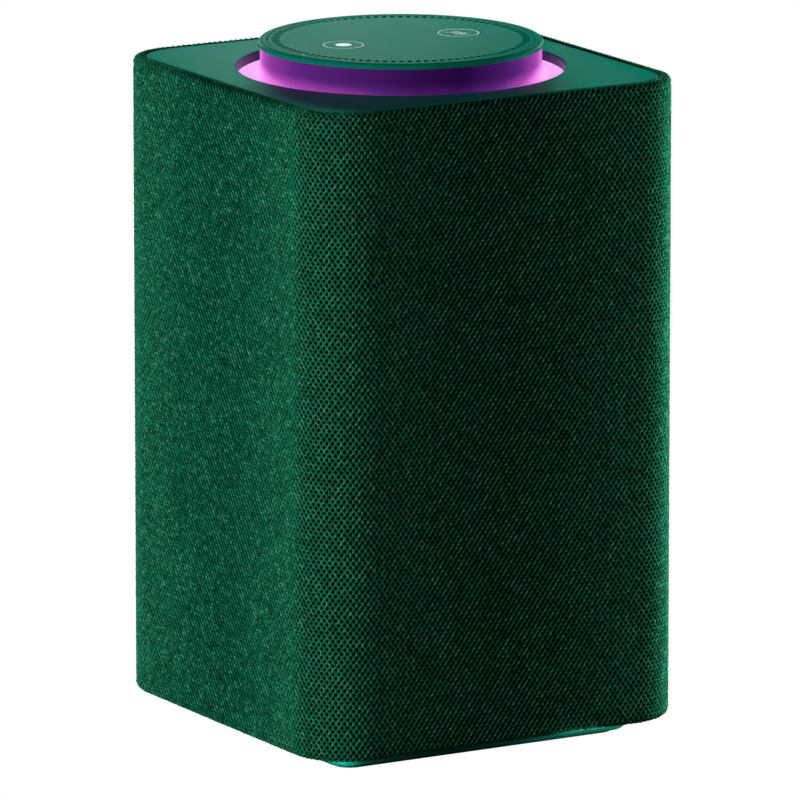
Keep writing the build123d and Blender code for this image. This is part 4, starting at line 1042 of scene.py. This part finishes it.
    @staticmethod
    def outer_normals(points: Array, triangles: Array, numbers: list[Array]) -> Array:
        """Area-weighted normals; on the two upright edges, only the part that both panels share.

        Along an edge the true normal lies in the plane that bisects the corner, so the sum of the
        triangles there is projected onto that plane.

        Args:
            points: the outer surface's vertices.
            triangles: its faces.
            numbers: each row's vertex numbers.
        Returns:
            A unit vector for each vertex.
        """
        a, b, c = (points[triangles[:, i]] for i in range(3))
        flat = np.cross(b - a, c - a)
        total = np.zeros_like(points)
        for i in range(3):
            np.add.at(total, triangles[:, i], flat)
        for end in (0, -1):
            ring = np.array([row[end] for row in numbers])
            out = np.sign(points[ring, :2]) / math.sqrt(2)
            plane = np.column_stack([out, np.zeros(len(ring))])
            reach = (total[ring] * plane).sum(1, keepdims=True)
            total[ring] = plane * reach + total[ring] * [0, 0, 1]
        return total / np.linalg.norm(total, axis=1, keepdims=True)

    @staticmethod
    def add_stitch_map(made: bpy.types.Object, stitch: Array) -> None:
        """Gives the mesh its stitch coordinates. Args: stitch: u, v for each vertex."""
        layer = made.data.uv_layers.new(name="stitch")
        corner = np.zeros(len(made.data.loops), np.int32)
        made.data.loops.foreach_get("vertex_index", corner)
        layer.data.foreach_set("uv", stitch[corner].astype(np.float32).ravel())

    @staticmethod
    def set_normals(made: bpy.types.Object) -> None:
        """Shades the panel with the stored outward directions, so that panels meet without a line."""
        mesh = made.data
        stored = np.zeros(len(mesh.vertices) * 3, np.float32)
        mesh.attributes["outward"].data.foreach_get("vector", stored)
        mesh.normals_split_custom_set_from_vertices(stored.reshape(-1, 3))
        mesh.attributes.remove(mesh.attributes["outward"])

    def cut_bay(self, made: bpy.types.Object) -> None:
        """Cuts the connector panel's opening with a Boolean, and applies it.

        The opening is a rounded rectangle: a circle whose quarters are moved out to its corners.

        Args:
            made: the rear panel.
        """
        low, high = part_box("rear_panel")
        gap, radius, sides = 0.2 * MM, 4.2 * MM, 48
        outside, inside = self.half + 2 * MM, self.half - 4 * MM
        wide, tall = (high.x - low.x) / 2 + gap, (high.z - low.z) / 2 + gap
        middle = (low.z + high.z) / 2
        angle = np.linspace(0, 2 * math.pi, sides, endpoint=False) + math.pi / sides
        x = np.sign(np.cos(angle)) * (wide - radius) + radius * np.cos(angle)
        z = np.sign(np.sin(angle)) * (tall - radius) + radius * np.sin(angle) + middle
        points, faces = prism(*(np.column_stack([x, np.full(sides, y), z]) for y in (outside, inside)))
        cutter = mesh_piece("bay_cutter", points, faces, made.data.materials[0], False)
        cut = made.modifiers.new("bay", "BOOLEAN")
        cut.operation, cut.solver, cut.object = "DIFFERENCE", "EXACT", cutter
        graph = bpy.context.evaluated_depsgraph_get()
        mesh = bpy.data.meshes.new_from_object(made.evaluated_get(graph), depsgraph=graph)
        made.modifiers.clear()
        made.data = mesh
        bpy.data.objects.remove(cutter)

    def build(self, material: bpy.types.Material) -> list[bpy.types.Object]:
        """Makes the four panels. Args: material: the knit. Returns: the panels."""
        made = []
        for side in Side:
            panel = self.panel(side, material)
            if side is Side.BACK:
                self.cut_bay(panel)
            self.set_normals(panel)
            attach(panel, "housing")
            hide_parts("knit_sleeve")
            LOG.info("%s: %d faces", panel.name, len(panel.data.polygons))
            made.append(panel)
        return made


# ---------------------------------------------------------------- the control head


@dataclass
class ControlHead:
    """The printed marks on the head: an outline round each key, a dot, a crossed microphone."""

    key_offset: float = 22 * MM
    outline_radius: float = 6.75 * MM
    outline_width: float = 0.45 * MM
    dot_radius: float = 2.7 * MM
    line: float = 0.42 * MM
    ink: float = 0.04 * MM
    sunk: float = 0.02 * MM

    def __post_init__(self) -> None:
        """The marks lie on the keys' upper faces."""
        self.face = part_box("activate_button")[1].z

    def strip(self, path: Array, width: float, closed: bool) -> tuple[Array, Array]:
        """A line of ink on the face of a key."""
        return inlay(path, width, self.face - self.sunk, self.face + self.ink, closed)

    @staticmethod
    def circle(
        x: float, y: float, radius: float, start: float = 0, end: float = 360, count: int = 96
    ) -> Array:
        """Points on a circle or an arc of it. A full circle's last point, which is its first, is left out.

        Args:
            x, y, radius: the circle's centre and radius.
            start, end: the arc, in degrees from +X.
            count: how many points.
        Returns:
            Rows of x, y.
        """
        full = end - start >= 360
        angle = np.radians(np.linspace(start, end, count, endpoint=not full))
        return np.column_stack([x + radius * np.cos(angle), y + radius * np.sin(angle)])

    def disc(self, x: float, radius: float, count: int = 72) -> tuple[Array, list[Any]]:
        """A round of ink: two rings of points, one above the other, closed by a face each."""
        ring = self.circle(x, 0, radius, count=count)
        return prism(at_height(ring, self.face - self.sunk), at_height(ring, self.face + self.ink))

    def microphone(self, x: float) -> list[tuple[Array, Array]]:
        """A plain microphone: a capsule outline, a cradle, a stem, a foot, and a stroke across them."""
        half, high, low, cradle = 1.15 * MM, 1.5 * MM, -0.3 * MM, 2.15 * MM
        stem, stem_end, foot, foot_half, slash = -2.45 * MM, -3.6 * MM, -3.65 * MM, 1.3 * MM, 2.9 * MM
        capsule = np.vstack([self.circle(x, high, half, 0, 180, 20), self.circle(x, low, half, 180, 360, 20)])
        strokes = [
            self.circle(x, low, cradle, 190, 350, 28),
            np.array([[x, stem], [x, stem_end]]),
            np.array([[x - foot_half, foot], [x + foot_half, foot]]),
            np.array([[x - slash, slash], [x + slash, -slash]]),
        ]
        return [self.strip(capsule, self.line, True), *(self.strip(s, self.line, False) for s in strokes)]

    def mark(self, name: str, body: str, parts: tuple[Array, Any], material: bpy.types.Material) -> None:
        """Makes one printed piece and lets it ride on its key.

        Args:
            name: the piece's name.
            body: the key's body.
            parts: vertices and faces.
            material: the ink.
        """
        piece = mesh_piece(name, parts[0], list(parts[1]), material, False)
        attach(piece, body)
        LOG.info("%s: %d faces", name, len(piece.data.polygons))

    def build(self, bright: bpy.types.Material, faint: bpy.types.Material) -> None:
        """Prints the marks. Args: bright, faint: the inks."""
        x = self.key_offset
        rings = [self.circle(at, 0, self.outline_radius) for at in (-x, x)]
        left, right = (self.strip(ring, self.outline_width, True) for ring in rings)
        self.mark("activate_outline", "activate_key", left, faint)
        self.mark("activate_dot", "activate_key", self.disc(-x, self.dot_radius), bright)
        self.mark("mute_outline", "mute_key", right, faint)
        self.mark("mute_icon", "mute_key", join(self.microphone(x)), faint)


# ---------------------------------------------------------------- CAD nodes


class Wardrobe:
    """Dresses every CAD node in its slot's finish."""

    def __init__(self, nodes: dict[str, bpy.types.Object], record: dict[str, Any]) -> None:
        """Args: nodes: the CAD objects. record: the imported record, whose subparts name each node's slot."""
        self.nodes = nodes
        self.slots = {part["node"]: part["material_slot"] for part in record["subparts"]}
        self.made: dict[str, bpy.types.Material] = {}

    def finish(self, slot: str) -> bpy.types.Material:
        """The material of a slot, made once."""
        if slot not in self.made:
            self.made[slot] = FINISHES[slot].material()
        return self.made[slot]

    def dress(self) -> None:
        """Puts each node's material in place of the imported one."""
        for name, node in self.nodes.items():
            material = self.finish(self.slots[name])
            if not node.material_slots:
                node.data.materials.append(material)
            for slot in node.material_slots:
                slot.material = material
            LOG.info("%s wears %s", name, material.name)


# ---------------------------------------------------------------- studio


@dataclass(frozen=True)
class Softbox:
    """A rectangular light that faces a point."""

    name: str
    place: tuple[float, float, float]
    aim: tuple[float, float, float]
    size: tuple[float, float]
    power: float
    glossy: bool = True

    def build(self) -> None:
        """Adds the light to the scene."""
        data = bpy.data.lights.new(self.name, "AREA")
        data.shape = "RECTANGLE"
        data.size, data.size_y = self.size
        data.energy = self.power
        made = bpy.data.objects.new(self.name, data)
        made.location = self.place
        made.rotation_euler = (Vector(self.aim) - Vector(self.place)).to_track_quat("-Z", "Y").to_euler()
        made.visible_camera, made.visible_glossy = False, self.glossy
        bpy.context.scene.collection.objects.link(made)


@dataclass
class Studio:
    """A pale floor without an end, softboxes, and the camera."""

    azimuth: float = -30.29
    elevation: float = 12.14
    distance: float = 3.704
    lens: float = 500.5
    aim_height: float = 110 * MM
    aim_left: float = 0.33 * MM
    aim_down: float = 1.27 * MM
    ambient: float = 0.009
    floor_tone: float = 0.06
    boxes: tuple[Softbox, ...] = (
        Softbox("key_left", (-1.40, -0.27, 0.28), (0, 0, 0.12), (0.45, 0.5), 19, False),
        Softbox("overhead", (-0.1, 0.0, 1.3), (0, 0, 0.222), (0.8, 0.8), 0.3, False),
        Softbox("top_behind", (0.38, 0.76, 0.40), (0.0, 0.0, 0.222), (0.30, 0.10), 38, False),
        Softbox("sheen_behind", (0.235, 0.46, 0.335), (-0.02, 0.02, 0.222), (0.10, 0.05), 0.014),
        Softbox("edge_left", (0.05, 0.60, 0.30), (0, 0, 0.23), (0.12, 0.14), 0.12),
        Softbox("edge_right", (0.66, 0.42, 0.34), (0, 0, 0.23), (0.25, 0.15), 0.22),
        Softbox("strip_right", (0.42, -0.14, 0.16), (0, 0, 0.12), (0.10, 0.3), 3.4, False),
        Softbox("foot_near", (-0.0605, -0.0605, 0.0035), (-0.03, -0.03, 0.0035), (0.012, 0.003), 0.0025),
        Softbox("foot_right", (0.045, -0.068, 0.0035), (0.03, 0.0, 0.0035), (0.05, 0.003), 0.004),
    )

    def camera(self) -> None:
        """Stands the camera off along its direction, aimed a little below and beside the middle."""
        a, e = math.radians(self.azimuth), math.radians(self.elevation)
        back = Vector((math.sin(a) * math.cos(e), -math.cos(a) * math.cos(e), math.sin(e)))
        right = Vector((math.cos(a), math.sin(a), 0))
        up = back.cross(right)
        aim = Vector((0, 0, self.aim_height)) - right * self.aim_left - up * self.aim_down
        data = bpy.data.cameras.new("camera")
        data.lens, data.sensor_width = self.lens, 36
        data.clip_start, data.clip_end = 0.1, 60
        made = bpy.data.objects.new("camera", data)
        made.location = aim + back * self.distance
        made.rotation_euler = (-back).to_track_quat("-Z", "Y").to_euler()
        bpy.context.scene.collection.objects.link(made)
        bpy.context.scene.camera = made

    def floor(self) -> None:
        """A wide pale floor that shows white, and gives back less light than it shows."""
        half = 30.0  # metres, so that no edge shows
        corners = np.array([[-half, -half, 0], [half, -half, 0], [half, half, 0], [-half, half, 0]])
        material = bpy.data.materials.new("pale_floor")
        material.use_nodes = True
        graph = Graph(material.node_tree)
        seen = graph.node("ShaderNodeLightPath", output="Is Camera Ray")
        tone = self.floor_tone
        dull = graph.node("ShaderNodeBsdfDiffuse", inputs={"Color": (tone, tone, tone, 1)})
        white = graph.node("ShaderNodeEmission", inputs={"Color": (1, 1, 1, 1), "Strength": 1.0})
        shader = graph.node("ShaderNodeMixShader", inputs={0: seen, 1: dull, 2: white})
        graph.node("ShaderNodeOutputMaterial", inputs={"Surface": shader})
        mesh_piece("floor", corners, [(0, 1, 2, 3)], material, False)

    def world(self) -> None:
        """White where the camera looks, and dim all round for the rest."""
        world = bpy.data.worlds.new("studio")
        world.use_nodes = True
        bpy.context.scene.world = world
        graph = Graph(world.node_tree)
        seen = graph.node("ShaderNodeLightPath", output="Is Camera Ray")
        strength = self.ambient + (1.0 - self.ambient) * seen
        sky = graph.node("ShaderNodeBackground", inputs={"Color": (1, 1, 1, 1), "Strength": strength})
        graph.node("ShaderNodeOutputWorld", inputs={"Surface": sky})

    def build(self) -> None:
        """Sets up the camera, floor, lights and sky."""
        self.camera()
        self.floor()
        self.world()
        for box in self.boxes:
            box.build()
        bpy.context.scene.view_settings.view_transform = "Standard"


def main() -> None:
    """Builds the speaker in order."""
    logging.basicConfig(level=logging.INFO, format="%(name)s: %(message)s")
    wardrobe = Wardrobe(frame["nodes"], frame["record"])
    wardrobe.dress()
    Studio().build()
    KnitSleeve().build(wardrobe.finish("knit"))
    ControlHead().build(PRINT.material(), PRINT_FAINT.material())


if __name__ == "__main__":
    main()
